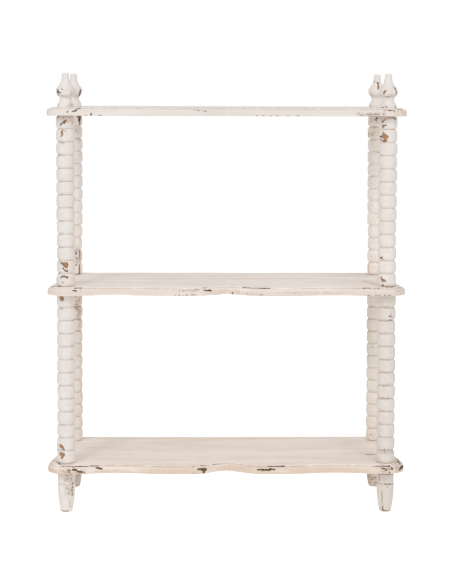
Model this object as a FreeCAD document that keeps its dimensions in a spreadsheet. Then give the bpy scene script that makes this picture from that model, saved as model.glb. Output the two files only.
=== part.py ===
"""Low open shelf: three scalloped boards on four stacks of turned feet, bobbin posts and finials.

Every turned piece is screwed to the next one through a board. A hanger bolt stands in the top of the
lower piece, passes a hole in the board and runs into a threaded insert in the piece above.
The origin is at the middle of the floor under the shelf, +Z is up and -Y is the scalloped front.
"""

import FreeCAD, Part
import math
import os
import Sketcher

Vector = FreeCAD.Vector

# Driving sizes in millimetres, one sheet cell each

SIZES = {
    # Boards
    "shelf_length": 800,
    "shelf_depth": 300,
    "shelf_thickness": 18,
    "post_overhang": 41.5,
    # Moulded board edge
    "quirk_depth": 2.5,
    "quirk_ledge": 2.5,
    "edge_round": 6.5,
    "underside_round": 1.5,
    # Scalloped board outline
    "notch_depth": 31.5,
    "notch_round": 8,
    "dip_depth": 11.5,
    "waist_depth": 12,
    # Bobbin posts
    "post_height": 380,
    "bead_radius": 20.5,
    "bead_groove_depth": 4.8,
    "bead_shoulder": 9.5,
    # Feet
    "foot_height": 94,
    "foot_radius": 19.8,
    "foot_collar_radius": 19.3,
    "foot_collar_height": 27,
    "foot_ring_depth": 2.2,
    "foot_ring_height": 3.5,
    "foot_ankle_radius": 14,
    "foot_sole_radius": 9.5,
    "foot_sole_height": 5,
    "foot_shoulder": 1.5,
    # Finials
    "finial_height": 76,
    "finial_base_radius": 18.5,
    "finial_base_height": 2,
    "finial_neck_radius": 12.5,
    "finial_neck_height": 18.5,
    "finial_belly_radius": 20.3,
    "finial_belly_height": 36.5,
    "finial_throat_radius": 7.9,
    "finial_throat_height": 69,
    "finial_tip_radius": 7.2,
    "finial_tip_round": 2,
    # Hanger bolts and threaded inserts
    "bolt_radius": 4,
    "bolt_wood_length": 32,
    "bolt_point_length": 6,
    "bolt_point_radius": 1,
    "bolt_reach": 14,
    "bolt_chamfer": 0.8,
    "bolt_clearance": 0.15,
    "bolt_end_gap": 1,
    "board_hole_clearance": 0.5,
    "insert_radius": 6,
    "insert_length": 13,
    "insert_flange_radius": 7.5,
    "insert_flange_height": 1.2,
    "insert_clearance": 0.15,
}

# Counts and shares of the lengths that they follow

SHARES = {
    "bead_count": 13,
    "swell_start_share": 0.223,
    "swell_end_share": 0.349,
    "swell_round_share": 0.68,
    "dip_round_share": 0.45,
    "waist_round_share": 0.5,
    "finial_base_share": 0.5,
    "finial_belly_share": 0.35,
    "finial_taper_share": 0.27,
}

CORNERS = {
    "front_left": (-1, -1),
    "front_right": (1, -1),
    "rear_left": (-1, 1),
    "rear_right": (1, 1),
}

# The sketcher's own numbers for the points of a piece, and for the axes through the origin

START, END, CENTRE = range(1, 4)
X_AXIS, Y_AXIS = range(-1, -3, -1)
ORIGIN = (X_AXIS, START)


class Size:
    """A number together with the sheet expression that gives it."""

    def __init__(self, number, text):
        self.number = number
        self.text = text

    def __add__(self, other):
        return Size(self.number + other.number, f"({self.text} + {other.text})")

    def __sub__(self, other):
        return Size(self.number - other.number, f"({self.text} - {other.text})")

    def __mul__(self, other):
        return Size(self.number * other.number, f"({self.text} * {other.text})")

    def __truediv__(self, other):
        return Size(self.number / other.number, f"({self.text} / {other.text})")


ZERO = Size(0, "0")
ONE = Size(1, "1")
TWO = Size(2, "2")
TINY = 1e-6
FULL_TURN = math.degrees(math.tau)


class Cells:
    """The sheet's cells by name, each as a Size."""

    def __init__(self, sheet, values):
        for row, (alias, value) in enumerate(values.items(), start=1):
            sheet.set(f"A{row}", alias)
            sheet.set(f"B{row}", str(value))
            sheet.setAlias(f"B{row}", alias)
            setattr(self, alias, Size(value, f"{sheet.Name}.{alias}"))


doc = FreeCAD.newDocument("low_shelf")
sheet = doc.addObject("Spreadsheet::Sheet", "Sizes")
s = Cells(sheet, {**SIZES, **SHARES})
doc.recompute()

# Places that several pieces share

post_x = s.shelf_length / TWO - s.post_overhang
post_y = s.shelf_depth / TWO - s.post_overhang
front_y = s.shelf_depth / TWO
end_x = s.shelf_length / TWO
bottom_shelf_z = s.foot_height
lower_post_z = bottom_shelf_z + s.shelf_thickness
middle_shelf_z = lower_post_z + s.post_height
upper_post_z = middle_shelf_z + s.shelf_thickness
top_shelf_z = upper_post_z + s.post_height
finial_z = top_shelf_z + s.shelf_thickness


# Small helpers for bodies and sketches

def new_body(name, x=ZERO, y=ZERO, z=ZERO):
    """A body called name whose placement follows the sheet."""
    body = doc.addObject("PartDesign::Body", name)
    body.Label = name
    for axis, size in (("x", x), ("y", y), ("z", z)):
        body.setExpression(f"Placement.Base.{axis}", size.text)
    return body


def new_sketch(body, name, role, height=ZERO):
    """A sketch on one of the body's own origin planes, lifted by height."""
    plane = next(f for f in body.Origin.OriginFeatures if f.Role == role)
    sketch = body.newObject("Sketcher::SketchObject", name)
    sketch.AttachmentSupport = [(plane, "")]
    sketch.MapMode = "FlatFace"
    sketch.setExpression("AttachmentOffset.Base.z", height.text)
    return sketch


def bind(sketch, kind, *refs, to):
    """Adds a constraint whose value the sheet drives."""
    index = sketch.addConstraint(Sketcher.Constraint(kind, *refs, to.number))
    sketch.setExpression(f"Constraints[{index}]", to.text)


def place_along(sketch, kind, geometry, point, size):
    """Ties a point to its distance from the origin along one axis, on the side where it is drawn."""
    if size.number == 0:
        axis = Y_AXIS if kind == "DistanceX" else X_AXIS
        sketch.addConstraint(Sketcher.Constraint("PointOnObject", geometry, point, axis))
    elif size.number > 0:
        bind(sketch, kind, *ORIGIN, geometry, point, to=size)
    else:
        bind(sketch, kind, geometry, point, *ORIGIN, to=ZERO - size)


def place(sketch, geometry, point, x, y):
    """Ties a point of a sketch to its place from the origin."""
    place_along(sketch, "DistanceX", geometry, point, x)
    place_along(sketch, "DistanceY", geometry, point, y)


def signed(size, sign):
    """The size on the positive or the negative side."""
    return size if sign > 0 else ZERO - size


def finish(feature):
    """Recomputes and makes the feature the body's result."""
    feature.getParentGeoFeatureGroup().Tip = feature
    doc.recompute()
    return feature


def drill(body, name, radius, start, depth, centres=((ZERO, ZERO),), up=True):
    """Cuts a round hole along Z at each centre, from the height start upwards or downwards."""
    sketch = new_sketch(body, name + "_sketch", "XY_Plane", start)
    for x, y in centres:
        circle = Part.Circle(Vector(x.number, y.number), Vector(0, 0, 1), radius.number)
        index = sketch.addGeometry(circle, False)
        bind(sketch, "Radius", index, to=radius)
        place(sketch, index, CENTRE, x, y)
    pocket = body.newObject("PartDesign::Pocket", name)
    pocket.Profile = sketch
    pocket.Type = "Length"
    pocket.setExpression("Length", depth.text)
    pocket.Reversed = up
    return finish(pocket)


# Turned pieces

class Turning:
    """A closed profile of radii and heights, walked up the outside of a turned piece."""

    def __init__(self, body, name):
        self.body = body
        self.name = name
        self.sketch = new_sketch(body, name + "_profile", "XZ_Plane")
        self.points = []
        self.arcs = {}

    def line(self, radius, height):
        """A straight step to a new point."""
        self.points.append((radius, height))

    def arc(self, radius, height, level_with):
        """An arc to a new point, upright at its START or its END."""
        self.arcs[len(self.points)] = level_with
        self.line(radius, height)

    def ogee(self, radius, height, share):
        """Two arcs in an S to a new point, upright at both ends and meeting at a share of the way."""
        last_radius, last_height = self.points[-1]
        turn_radius = last_radius + (radius - last_radius) * share
        self.arc(turn_radius, last_height + (height - last_height) * share, START)
        self.arc(radius, height, END)

    def draw(self):
        """Draws the profile and ties every point to the sheet."""
        count = len(self.points)
        corners = [Vector(r.number, z.number) for r, z in self.points]
        for index in range(count):
            start, end = corners[index - 1], corners[index]
            if index in self.arcs:
                upright = start if self.arcs[index] == START else end
                self.sketch.addGeometry(level_arc(start, end, upright), False)
            else:
                self.sketch.addGeometry(Part.LineSegment(start, end), False)
        ends = [self.ends(index, corners) for index in range(count)]
        for index in range(count):
            following = (index + 1) % count
            self.sketch.addConstraint(Sketcher.Constraint(
                "Coincident", index, ends[index][1], following, ends[following][0]))
            place(self.sketch, index, ends[index][1], *self.points[index])
        for index, level_with in self.arcs.items():
            upright = ends[index][0] if level_with == START else ends[index][1]
            self.sketch.addConstraint(Sketcher.Constraint(
                "Horizontal", index, CENTRE, index, upright))

    def ends(self, index, corners):
        """Which ends of a piece of the profile the walk enters and leaves by."""
        piece = self.sketch.Geometry[index]
        if piece.StartPoint.isEqual(corners[index - 1], TINY):
            return START, END
        return END, START

    def turn(self):
        """Revolves the profile into a solid round the body's Z axis."""
        return self.round_axis("PartDesign::Revolution")

    def cut(self):
        """Cuts the profile out of the body, round its Z axis."""
        return self.round_axis("PartDesign::Groove")

    def round_axis(self, kind):
        """Turns the profile a full circle as a solid or a cut."""
        self.draw()
        turned = self.body.newObject(kind, self.name)
        turned.Profile = self.sketch
        turned.ReferenceAxis = (self.sketch, ["V_Axis"])
        turned.Angle = FULL_TURN
        return finish(turned)


def level_arc(start, end, upright):
    """The arc between two points whose centre is level with one of them."""
    other = end if upright is start else start
    across = upright.x - other.x
    rise = upright.y - other.y
    radius = (across * across + rise * rise) / (2 * across)
    centre = Vector(upright.x - radius, upright.y)
    angles = [math.atan2(p.y - centre.y, p.x - centre.x) for p in (start, end)]
    turn = math.remainder(angles[1] - angles[0], math.tau)
    if turn < 0:
        angles.reverse()
    return Part.ArcOfCircle(Part.Circle(centre, Vector(0, 0, 1), abs(radius)), *angles)


# Scalloped board outline

class Round:
    """An arc of the outline, either bulging or hollow with its centre outside the board."""

    def __init__(self, x, y, radius, inset, hollow=False, tied=()):
        self.x = x
        self.y = y
        self.radius = radius + inset if hollow else radius - inset
        self.hollow = hollow
        self.tied = tied
        self.centre = Vector(x.number, y.number)

    def at(self, x, y):
        """The point of the circle in a direction from its centre."""
        return self.centre + Vector(x, y).normalize() * self.radius.number

    def touching(self, other):
        """Where this circle touches the next one."""
        way = other.centre - self.centre
        inside_other = self.hollow == other.hollow and self.radius.number < other.radius.number
        return self.at(-way.x, -way.y) if inside_other else self.at(way.x, way.y)


class Edge:
    """One line or arc of the outline, walked anticlockwise on the right half or the left half."""

    def __init__(self, start, end, arc=None, side=1):
        points = [Vector(side * point.x, point.y) for point in (start, end)]
        self.start, self.end = points[::side]
        self.arc = arc
        self.side = side

    def ends(self):
        """The sketch's names for the ends where the walk enters and leaves."""
        return (END, START) if self.arc and self.arc.hollow else (START, END)

    def geometry(self):
        """The sketch line or arc."""
        if self.arc is None:
            return Part.LineSegment(self.start, self.end)
        centre = Vector(self.side * self.arc.centre.x, self.arc.centre.y)
        points = (self.end, self.start) if self.arc.hollow else (self.start, self.end)
        angles = [math.atan2(point.y - centre.y, point.x - centre.x) for point in points]
        circle = Part.Circle(centre, Vector(0, 0, 1), self.arc.radius.number)
        return Part.ArcOfCircle(circle, *angles)


def wave_radii(span, depth, share):
    """The hollow and the bulging radius of a wave of the given half span and depth."""
    both = (span * span + depth * depth) / (depth * TWO)
    hollow = both * share
    return hollow, both - hollow


def board_rounds(inset):
    """The arcs of the right half in order, from the notch in the front to the rear corner."""
    front = ZERO - front_y
    swell_x = post_x * s.swell_start_share
    wave_x = post_x * s.swell_end_share
    dip_x = (wave_x + post_x) / TWO
    tip_y = front + s.notch_depth - s.notch_round
    widest = swell_x * swell_x / (s.notch_depth * TWO) + s.notch_depth / TWO - s.notch_round
    swell = widest * s.swell_round_share
    dip, lobe = wave_radii(dip_x - wave_x, s.dip_depth, s.dip_round_share)
    waist, flare = wave_radii(post_y, s.waist_depth, s.waist_round_share)
    dip_y = front + s.dip_depth - dip
    flare_x = end_x - flare
    waist_x = end_x - s.waist_depth + waist
    fixed = ("x", "y", "radius")
    return {
        "notch": Round(ZERO, tip_y, s.notch_round, inset, True, fixed),
        "swell": Round(swell_x, front + swell, swell, inset, False, ("x", "radius")),
        "wave": Round(wave_x, front + lobe, lobe, inset),
        "dip": Round(dip_x, dip_y, dip, inset, True, fixed),
        "lobe": Round(post_x, front + lobe, lobe, inset, False, ("Vertical", 1)),
        "corner": Round(post_x, ZERO - post_y, s.post_overhang, inset, False, fixed),
        "flare": Round(flare_x, ZERO - post_y, flare, inset, False, ("Horizontal", -1)),
        "waist": Round(waist_x, ZERO, waist, inset, True, fixed),
        "rear_flare": Round(flare_x, post_y, flare, inset, False, ("Horizontal", 1)),
        "rear_corner": Round(post_x, post_y, s.post_overhang, inset, False, fixed),
    }


def flank_ends(notch, swell):
    """The ends of the straight flank that touches the notch and the swell on opposite sides."""
    reach = swell.centre - notch.centre
    opening = math.asin((notch.radius + swell.radius).number / reach.Length)
    slope = math.atan2(reach.y, reach.x) - opening
    lean = (-math.sin(slope), math.cos(slope))
    return notch.at(*lean), swell.at(-lean[0], -lean[1])


def tie_arc(sketch, walk, index):
    """Adds the constraints that hold one arc's centre and radius to the sheet."""
    edge = walk[index]
    tied = edge.arc.tied
    if "x" in tied:
        place_along(sketch, "DistanceX", index, CENTRE, signed(edge.arc.x, edge.side))
    if "y" in tied:
        place_along(sketch, "DistanceY", index, CENTRE, edge.arc.y)
    if "radius" in tied:
        bind(sketch, "Radius", index, to=edge.arc.radius)
    if tied and tied[0] in ("Vertical", "Horizontal"):
        neighbour = index + tied[1] * edge.side
        sketch.addConstraint(Sketcher.Constraint(tied[0], index, CENTRE, neighbour, CENTRE))


def board_outline(body, name, height, inset):
    """Draws the whole outline of a board, drawn in by inset and fully tied to the sheet."""
    rounds = board_rounds(inset)
    notch, swell, *chain = rounds.values()
    flank_start, flank_end = flank_ends(notch, swell)
    swell_end = swell.at(0, -1)
    joints = [chain[0].at(0, -1)]
    joints += [arc.touching(following) for arc, following in zip(chain, chain[1:])]
    joints += [chain[-1].at(0, 1)]
    half = [(flank_start, flank_end, None), (flank_end, swell_end, swell), (swell_end, joints[0], None)]
    half += zip(joints, joints[1:], chain)
    right = [Edge(*edge) for edge in half]
    left = [Edge(*edge, side=-1) for edge in reversed(half)]
    tip = Edge(left[-1].end, right[0].start, notch)
    rear = Edge(right[-1].end, left[0].start)
    walk = [tip, *right, rear, *left]

    sketch = new_sketch(body, name, "XY_Plane", height)
    for edge in walk:
        sketch.addGeometry(edge.geometry(), False)
    for index, edge in enumerate(walk):
        following = (index + 1) % len(walk)
        sketch.addConstraint(Sketcher.Constraint(
            "Tangent", index, edge.ends()[1], following, walk[following].ends()[0]))
        if edge.arc:
            tie_arc(sketch, walk, index)
    front = ZERO - front_y + inset
    wave_x = rounds["wave"].x
    for line, end, x in ((right[2], END, wave_x), (left[-3], START, ZERO - wave_x)):
        index = walk.index(line)
        sketch.addConstraint(Sketcher.Constraint("Horizontal", index))
        place(sketch, index, end, x, front)
    return sketch


def pad(body, name, sketch, length):
    """Raises a sketch by length."""
    feature = body.newObject("PartDesign::Pad", name)
    feature.Profile = sketch
    feature.setExpression("Length", length.text)
    return finish(feature)


def round_edges(body, name, base, height, radius):
    """Rounds every edge of the flat face that lies at a height."""
    faces = base.Shape.Faces
    flat = [i for i, face in enumerate(faces, start=1)
            if face.BoundBox.ZLength < TINY and abs(face.BoundBox.ZMin - height.number) < TINY]
    fillet = body.newObject("PartDesign::Fillet", name)
    fillet.Base = (base, [f"Face{i}" for i in flat])
    fillet.setExpression("Radius", radius.text)
    return finish(fillet)


def board(name, height):
    """One board: a body with a rounded edge, a raised panel inside a quirk and four bolt holes."""
    body = new_body(name, z=height)
    quirk_z = s.shelf_thickness - s.quirk_depth
    blank = pad(body, "blank", board_outline(body, "outline", ZERO, ZERO), quirk_z)
    eased = round_edges(body, "underside_round", blank, ZERO, s.underside_round)
    round_edges(body, "edge_round", eased, quirk_z, s.edge_round)
    inset = s.edge_round + s.quirk_ledge
    pad(body, "panel", board_outline(body, "panel_outline", quirk_z, inset), s.quirk_depth)
    centres = [(signed(post_x, x), signed(post_y, y)) for x, y in CORNERS.values()]
    drill(body, "bolt_holes", s.bolt_radius + s.board_hole_clearance, ZERO, s.shelf_thickness, centres)
    return body


# Turned pieces of one corner

def bolt_bore(body, top):
    """The blind bore for the wood end of a hanger bolt, down from the top of a piece."""
    depth = s.bolt_wood_length + s.bolt_end_gap
    drill(body, "bolt_bore", s.bolt_radius + s.bolt_clearance, top, depth, up=False)


def insert_bore(body):
    """The stepped bore for a threaded insert and the bolt end, up from the bottom of a piece."""
    drill(body, "insert_bore", s.insert_radius + s.insert_clearance, ZERO, s.insert_length)
    flange_seat = s.insert_flange_radius + s.insert_clearance
    drill(body, "flange_seat", flange_seat, ZERO, s.insert_flange_height)
    run_out = s.bolt_reach + s.bolt_end_gap
    drill(body, "bolt_run_out", s.bolt_radius + s.board_hole_clearance, ZERO, run_out)


def foot(name, x, y):
    """A turned foot with a collar over a ring groove and a taper down to the floor."""
    body = new_body(name, x, y)
    collar_z = s.foot_height - s.foot_collar_height
    ring_z = collar_z - s.foot_ring_height / TWO
    shoulder_z = ring_z - s.foot_ring_height / TWO
    ring_radius = s.foot_collar_radius - s.foot_ring_depth
    profile = Turning(body, "turned")
    profile.line(ZERO, s.foot_height)
    profile.line(ZERO, ZERO)
    profile.line(s.foot_sole_radius, ZERO)
    profile.arc(s.foot_ankle_radius, s.foot_sole_height, END)
    profile.arc(s.foot_radius, shoulder_z, END)
    profile.line(ring_radius, ring_z)
    profile.line(s.foot_collar_radius, collar_z)
    profile.line(s.foot_collar_radius, s.foot_height - s.foot_shoulder)
    profile.line(s.foot_collar_radius - s.foot_shoulder, s.foot_height)
    profile.turn()
    bolt_bore(body, s.foot_height)
    return body


def post(name, x, y, z):
    """A bobbin post: a turned rod with a V groove at each end and between its beads."""
    body = new_body(name, x, y, z)
    rod = Turning(body, "rod")
    rod.line(ZERO, s.post_height)
    rod.line(ZERO, ZERO)
    rod.line(s.bead_radius, ZERO)
    rod.line(s.bead_radius, s.post_height)
    rod.turn()
    valley = Turning(body, "bead_groove")
    valley.line(s.bead_radius, s.bead_shoulder)
    valley.line(s.bead_radius - s.bead_groove_depth, ZERO)
    valley.line(s.bead_radius, ZERO - s.bead_shoulder)
    groove = valley.cut()
    beads = body.newObject("PartDesign::LinearPattern", "beads")
    beads.Originals = [groove]
    beads.Direction = (valley.sketch, ["V_Axis"])
    beads.setExpression("Length", s.post_height.text)
    beads.setExpression("Occurrences", (s.bead_count + ONE).text)
    finish(beads)
    bolt_bore(body, s.post_height)
    insert_bore(body)
    return body


def finial(name, x, y):
    """A turned finial: a flared base, a neck, a round belly and a tapering throat."""
    body = new_body(name, x, y, finial_z)
    profile = Turning(body, "turned")
    profile.line(ZERO, s.finial_height)
    profile.line(ZERO, ZERO)
    profile.line(s.finial_base_radius, ZERO)
    profile.line(s.finial_base_radius, s.finial_base_height)
    profile.ogee(s.finial_neck_radius, s.finial_neck_height, s.finial_base_share)
    profile.ogee(s.finial_belly_radius, s.finial_belly_height, s.finial_belly_share)
    profile.ogee(s.finial_throat_radius, s.finial_throat_height, s.finial_taper_share)
    profile.line(s.finial_tip_radius, s.finial_height - s.finial_tip_round)
    profile.arc(s.finial_tip_radius - s.finial_tip_round, s.finial_height, START)
    profile.turn()
    insert_bore(body)
    return body


# Hidden fasteners, four of a kind in one body

def at_all_corners(body, feature):
    """Repeats a feature at the four corners, one solid at each."""
    steps = []
    for name, role, length in (("across", "X_Axis", post_x), ("deep", "Y_Axis", post_y)):
        axis = next(f for f in body.Origin.OriginFeatures if f.Role == role)
        step = body.newObject("PartDesign::LinearPattern", name)
        step.Direction = (axis, [""])
        step.setExpression("Length", (length * TWO).text)
        step.Occurrences = 2
        steps.append(step)
    corners = body.newObject("PartDesign::MultiTransform", "corners")
    corners.Originals = [feature]
    corners.Transformations = steps
    return finish(corners)


def hanger_bolts(name, board_z):
    """Four double-ended bolts, with a pointed wood end below the board and a plain end above it."""
    body = new_body(name, ZERO - post_x, ZERO - post_y, board_z)
    tip = ZERO - s.bolt_wood_length
    top = s.shelf_thickness + s.bolt_reach
    profile = Turning(body, "bolt")
    profile.line(ZERO, top)
    profile.line(ZERO, tip)
    profile.line(s.bolt_point_radius, tip)
    profile.line(s.bolt_radius, tip + s.bolt_point_length)
    profile.line(s.bolt_radius, top - s.bolt_chamfer)
    profile.line(s.bolt_radius - s.bolt_chamfer, top)
    at_all_corners(body, profile.turn())
    return body


def threaded_inserts(name, board_z):
    """Four flanged sleeves, flush with the foot of the pieces that stand on the board."""
    body = new_body(name, ZERO - post_x, ZERO - post_y, board_z + s.shelf_thickness)
    bore = s.bolt_radius + s.bolt_clearance
    profile = Turning(body, "insert")
    profile.line(bore, s.insert_length)
    profile.line(bore, ZERO)
    profile.line(s.insert_flange_radius, ZERO)
    profile.line(s.insert_flange_radius, s.insert_flange_height)
    profile.line(s.insert_radius, s.insert_flange_height)
    profile.line(s.insert_radius, s.insert_length)
    at_all_corners(body, profile.turn())
    return body


# The whole shelf

def build():
    """Every piece of the shelf, from the floor up."""
    pieces = []
    for corner, (side_x, side_y) in CORNERS.items():
        x = signed(post_x, side_x)
        y = signed(post_y, side_y)
        pieces.append(foot(f"foot_{corner}", x, y))
        pieces.append(post(f"lower_post_{corner}", x, y, lower_post_z))
        pieces.append(post(f"upper_post_{corner}", x, y, upper_post_z))
        pieces.append(finial(f"finial_{corner}", x, y))
    for level, height in (
        ("bottom", bottom_shelf_z),
        ("middle", middle_shelf_z),
        ("top", top_shelf_z),
    ):
        pieces.append(board(f"{level}_shelf", height))
        pieces.append(hanger_bolts(f"{level}_hanger_bolts", height))
        pieces.append(threaded_inserts(f"{level}_threaded_inserts", height))
    return pieces


def check(pieces):
    """Stops if any object of the document or any finished piece has failed."""
    for thing in doc.Objects:
        if {"Invalid", "Error"} & set(thing.State):
            raise RuntimeError(f"{thing.Label} failed: {thing.State}")
    for piece in pieces:
        if piece.Shape.isNull() or not piece.Shape.isValid():
            raise RuntimeError(f"{piece.Label} has no valid shape")


pieces = build()
doc.recompute()
check(pieces)
os.makedirs("parts", exist_ok=True)
for piece in pieces:
    piece.Shape.exportStep(f"parts/{piece.Label}.step")
    print(piece.Label, len(piece.Shape.Solids), round(piece.Shape.Volume))
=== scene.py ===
"""Low open shelf in worn cream paint, dressed for a studio picture.

Three scalloped boards stand on bobbin-turned posts between turned feet and finials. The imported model
gives every place. Each wooden node is replaced by a finer piece that carries its own paint, wear and
bare wood, and the hidden bolts and inserts keep their meshes and get a metal finish.
"""

import itertools
import logging
import math
from collections.abc import Iterable, Sequence
from dataclasses import dataclass, replace
from enum import Enum

import bpy
import numpy as np
from mathutils import Color, Matrix, Vector
from mathutils.bvhtree import BVHTree
from mathutils.geometry import delaunay_2d_cdt


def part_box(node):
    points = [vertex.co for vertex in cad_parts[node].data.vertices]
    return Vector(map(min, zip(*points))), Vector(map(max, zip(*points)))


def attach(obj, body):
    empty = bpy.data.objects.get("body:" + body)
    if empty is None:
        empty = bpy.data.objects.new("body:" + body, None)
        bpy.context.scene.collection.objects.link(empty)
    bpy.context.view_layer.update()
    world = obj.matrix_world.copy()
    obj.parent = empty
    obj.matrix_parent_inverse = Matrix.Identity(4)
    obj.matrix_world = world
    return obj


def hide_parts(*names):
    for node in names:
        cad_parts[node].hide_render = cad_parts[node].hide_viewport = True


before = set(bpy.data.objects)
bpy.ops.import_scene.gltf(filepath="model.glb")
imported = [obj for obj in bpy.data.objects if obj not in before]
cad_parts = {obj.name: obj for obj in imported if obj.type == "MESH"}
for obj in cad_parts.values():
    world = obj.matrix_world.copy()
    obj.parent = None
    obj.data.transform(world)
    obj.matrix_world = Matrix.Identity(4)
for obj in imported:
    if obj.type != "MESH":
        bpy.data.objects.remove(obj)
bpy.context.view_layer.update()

logging.basicConfig(level=logging.INFO, format="%(name)s: %(message)s")
log = logging.getLogger("low_shelf")

Pair = tuple[float, float]
Place = tuple[float, float, float]
Colour = tuple[float, float, float, float]

MM = 0.001
FULL_TURN = 2 * math.pi
UP = Vector((0, 0, 1))
BODY = "root"

# Further from a groove or a mark than any paint looks, in millimetres
FAR = 50.0

# Edges that turn by more than this stay crisp
CRISP_EDGE = math.radians(50)

# Keeps the share of a run that has no length at a number
TINY = 1e-9


# Places on the wood


class Corner(Enum):
    """The four stacks of turned pieces."""

    FRONT_LEFT = "front_left"
    FRONT_RIGHT = "front_right"
    REAR_LEFT = "rear_left"
    REAR_RIGHT = "rear_right"


class Wear(Enum):
    """What has happened to the paint at a mark; a few stain strokes are painted shade instead."""

    CHIP = "chip"
    CRACK = "crack"
    STAIN = "stain"
    CRACKLE = "crackle"


@dataclass(frozen=True)
class Mark:
    """One stroke of wear as the picture shows it, or in a few places a stroke of painted shade.

    The width is in picture pixels, and the points count pixels across and down from the picture's
    upper left corner.
    """

    wear: Wear
    width: float
    points: tuple[Pair, ...]


@dataclass(frozen=True)
class Stroke:
    """A mark on its piece, in millimetres from the middle of the piece's lowest face."""

    wear: Wear
    width: float
    points: np.ndarray


def chip(width: float, *points: Pair) -> Mark:
    """Paint that has come off down to the wood."""
    return Mark(Wear.CHIP, width, points)


def crack(width: float, *points: Pair) -> Mark:
    """A dark line, or a narrow flake with only dark wood in it."""
    return Mark(Wear.CRACK, width, points)


def stain(width: float, *points: Pair) -> Mark:
    """A soft tan patch: mostly a stain, and painted shade where the table says so."""
    return Mark(Wear.STAIN, width, points)


def crackle(width: float, *points: Pair) -> Mark:
    """A patch of hair cracks and fine dots."""
    return Mark(Wear.CRACKLE, width, points)


def spots(width: float, *points: Pair) -> tuple[Mark, ...]:
    """Round chips, one at each point."""
    return tuple(chip(width, point) for point in points)


def crack_row(width: float, length: float, *starts: Pair) -> tuple[Mark, ...]:
    """Short level cracks, one from each start."""
    return tuple(crack(width, start, (start[0] + length, start[1])) for start in starts)


def grooves(width: float, left: float, right: float, *rows: float) -> tuple[Mark, ...]:
    """Tan dirt in the grooves between beads, from one side to the other in each row."""
    return tuple(stain(width, (left, row), (right, row)) for row in rows)


# Wear, and a few strokes of painted shade, seen in the picture, with every length in picture pixels

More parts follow.
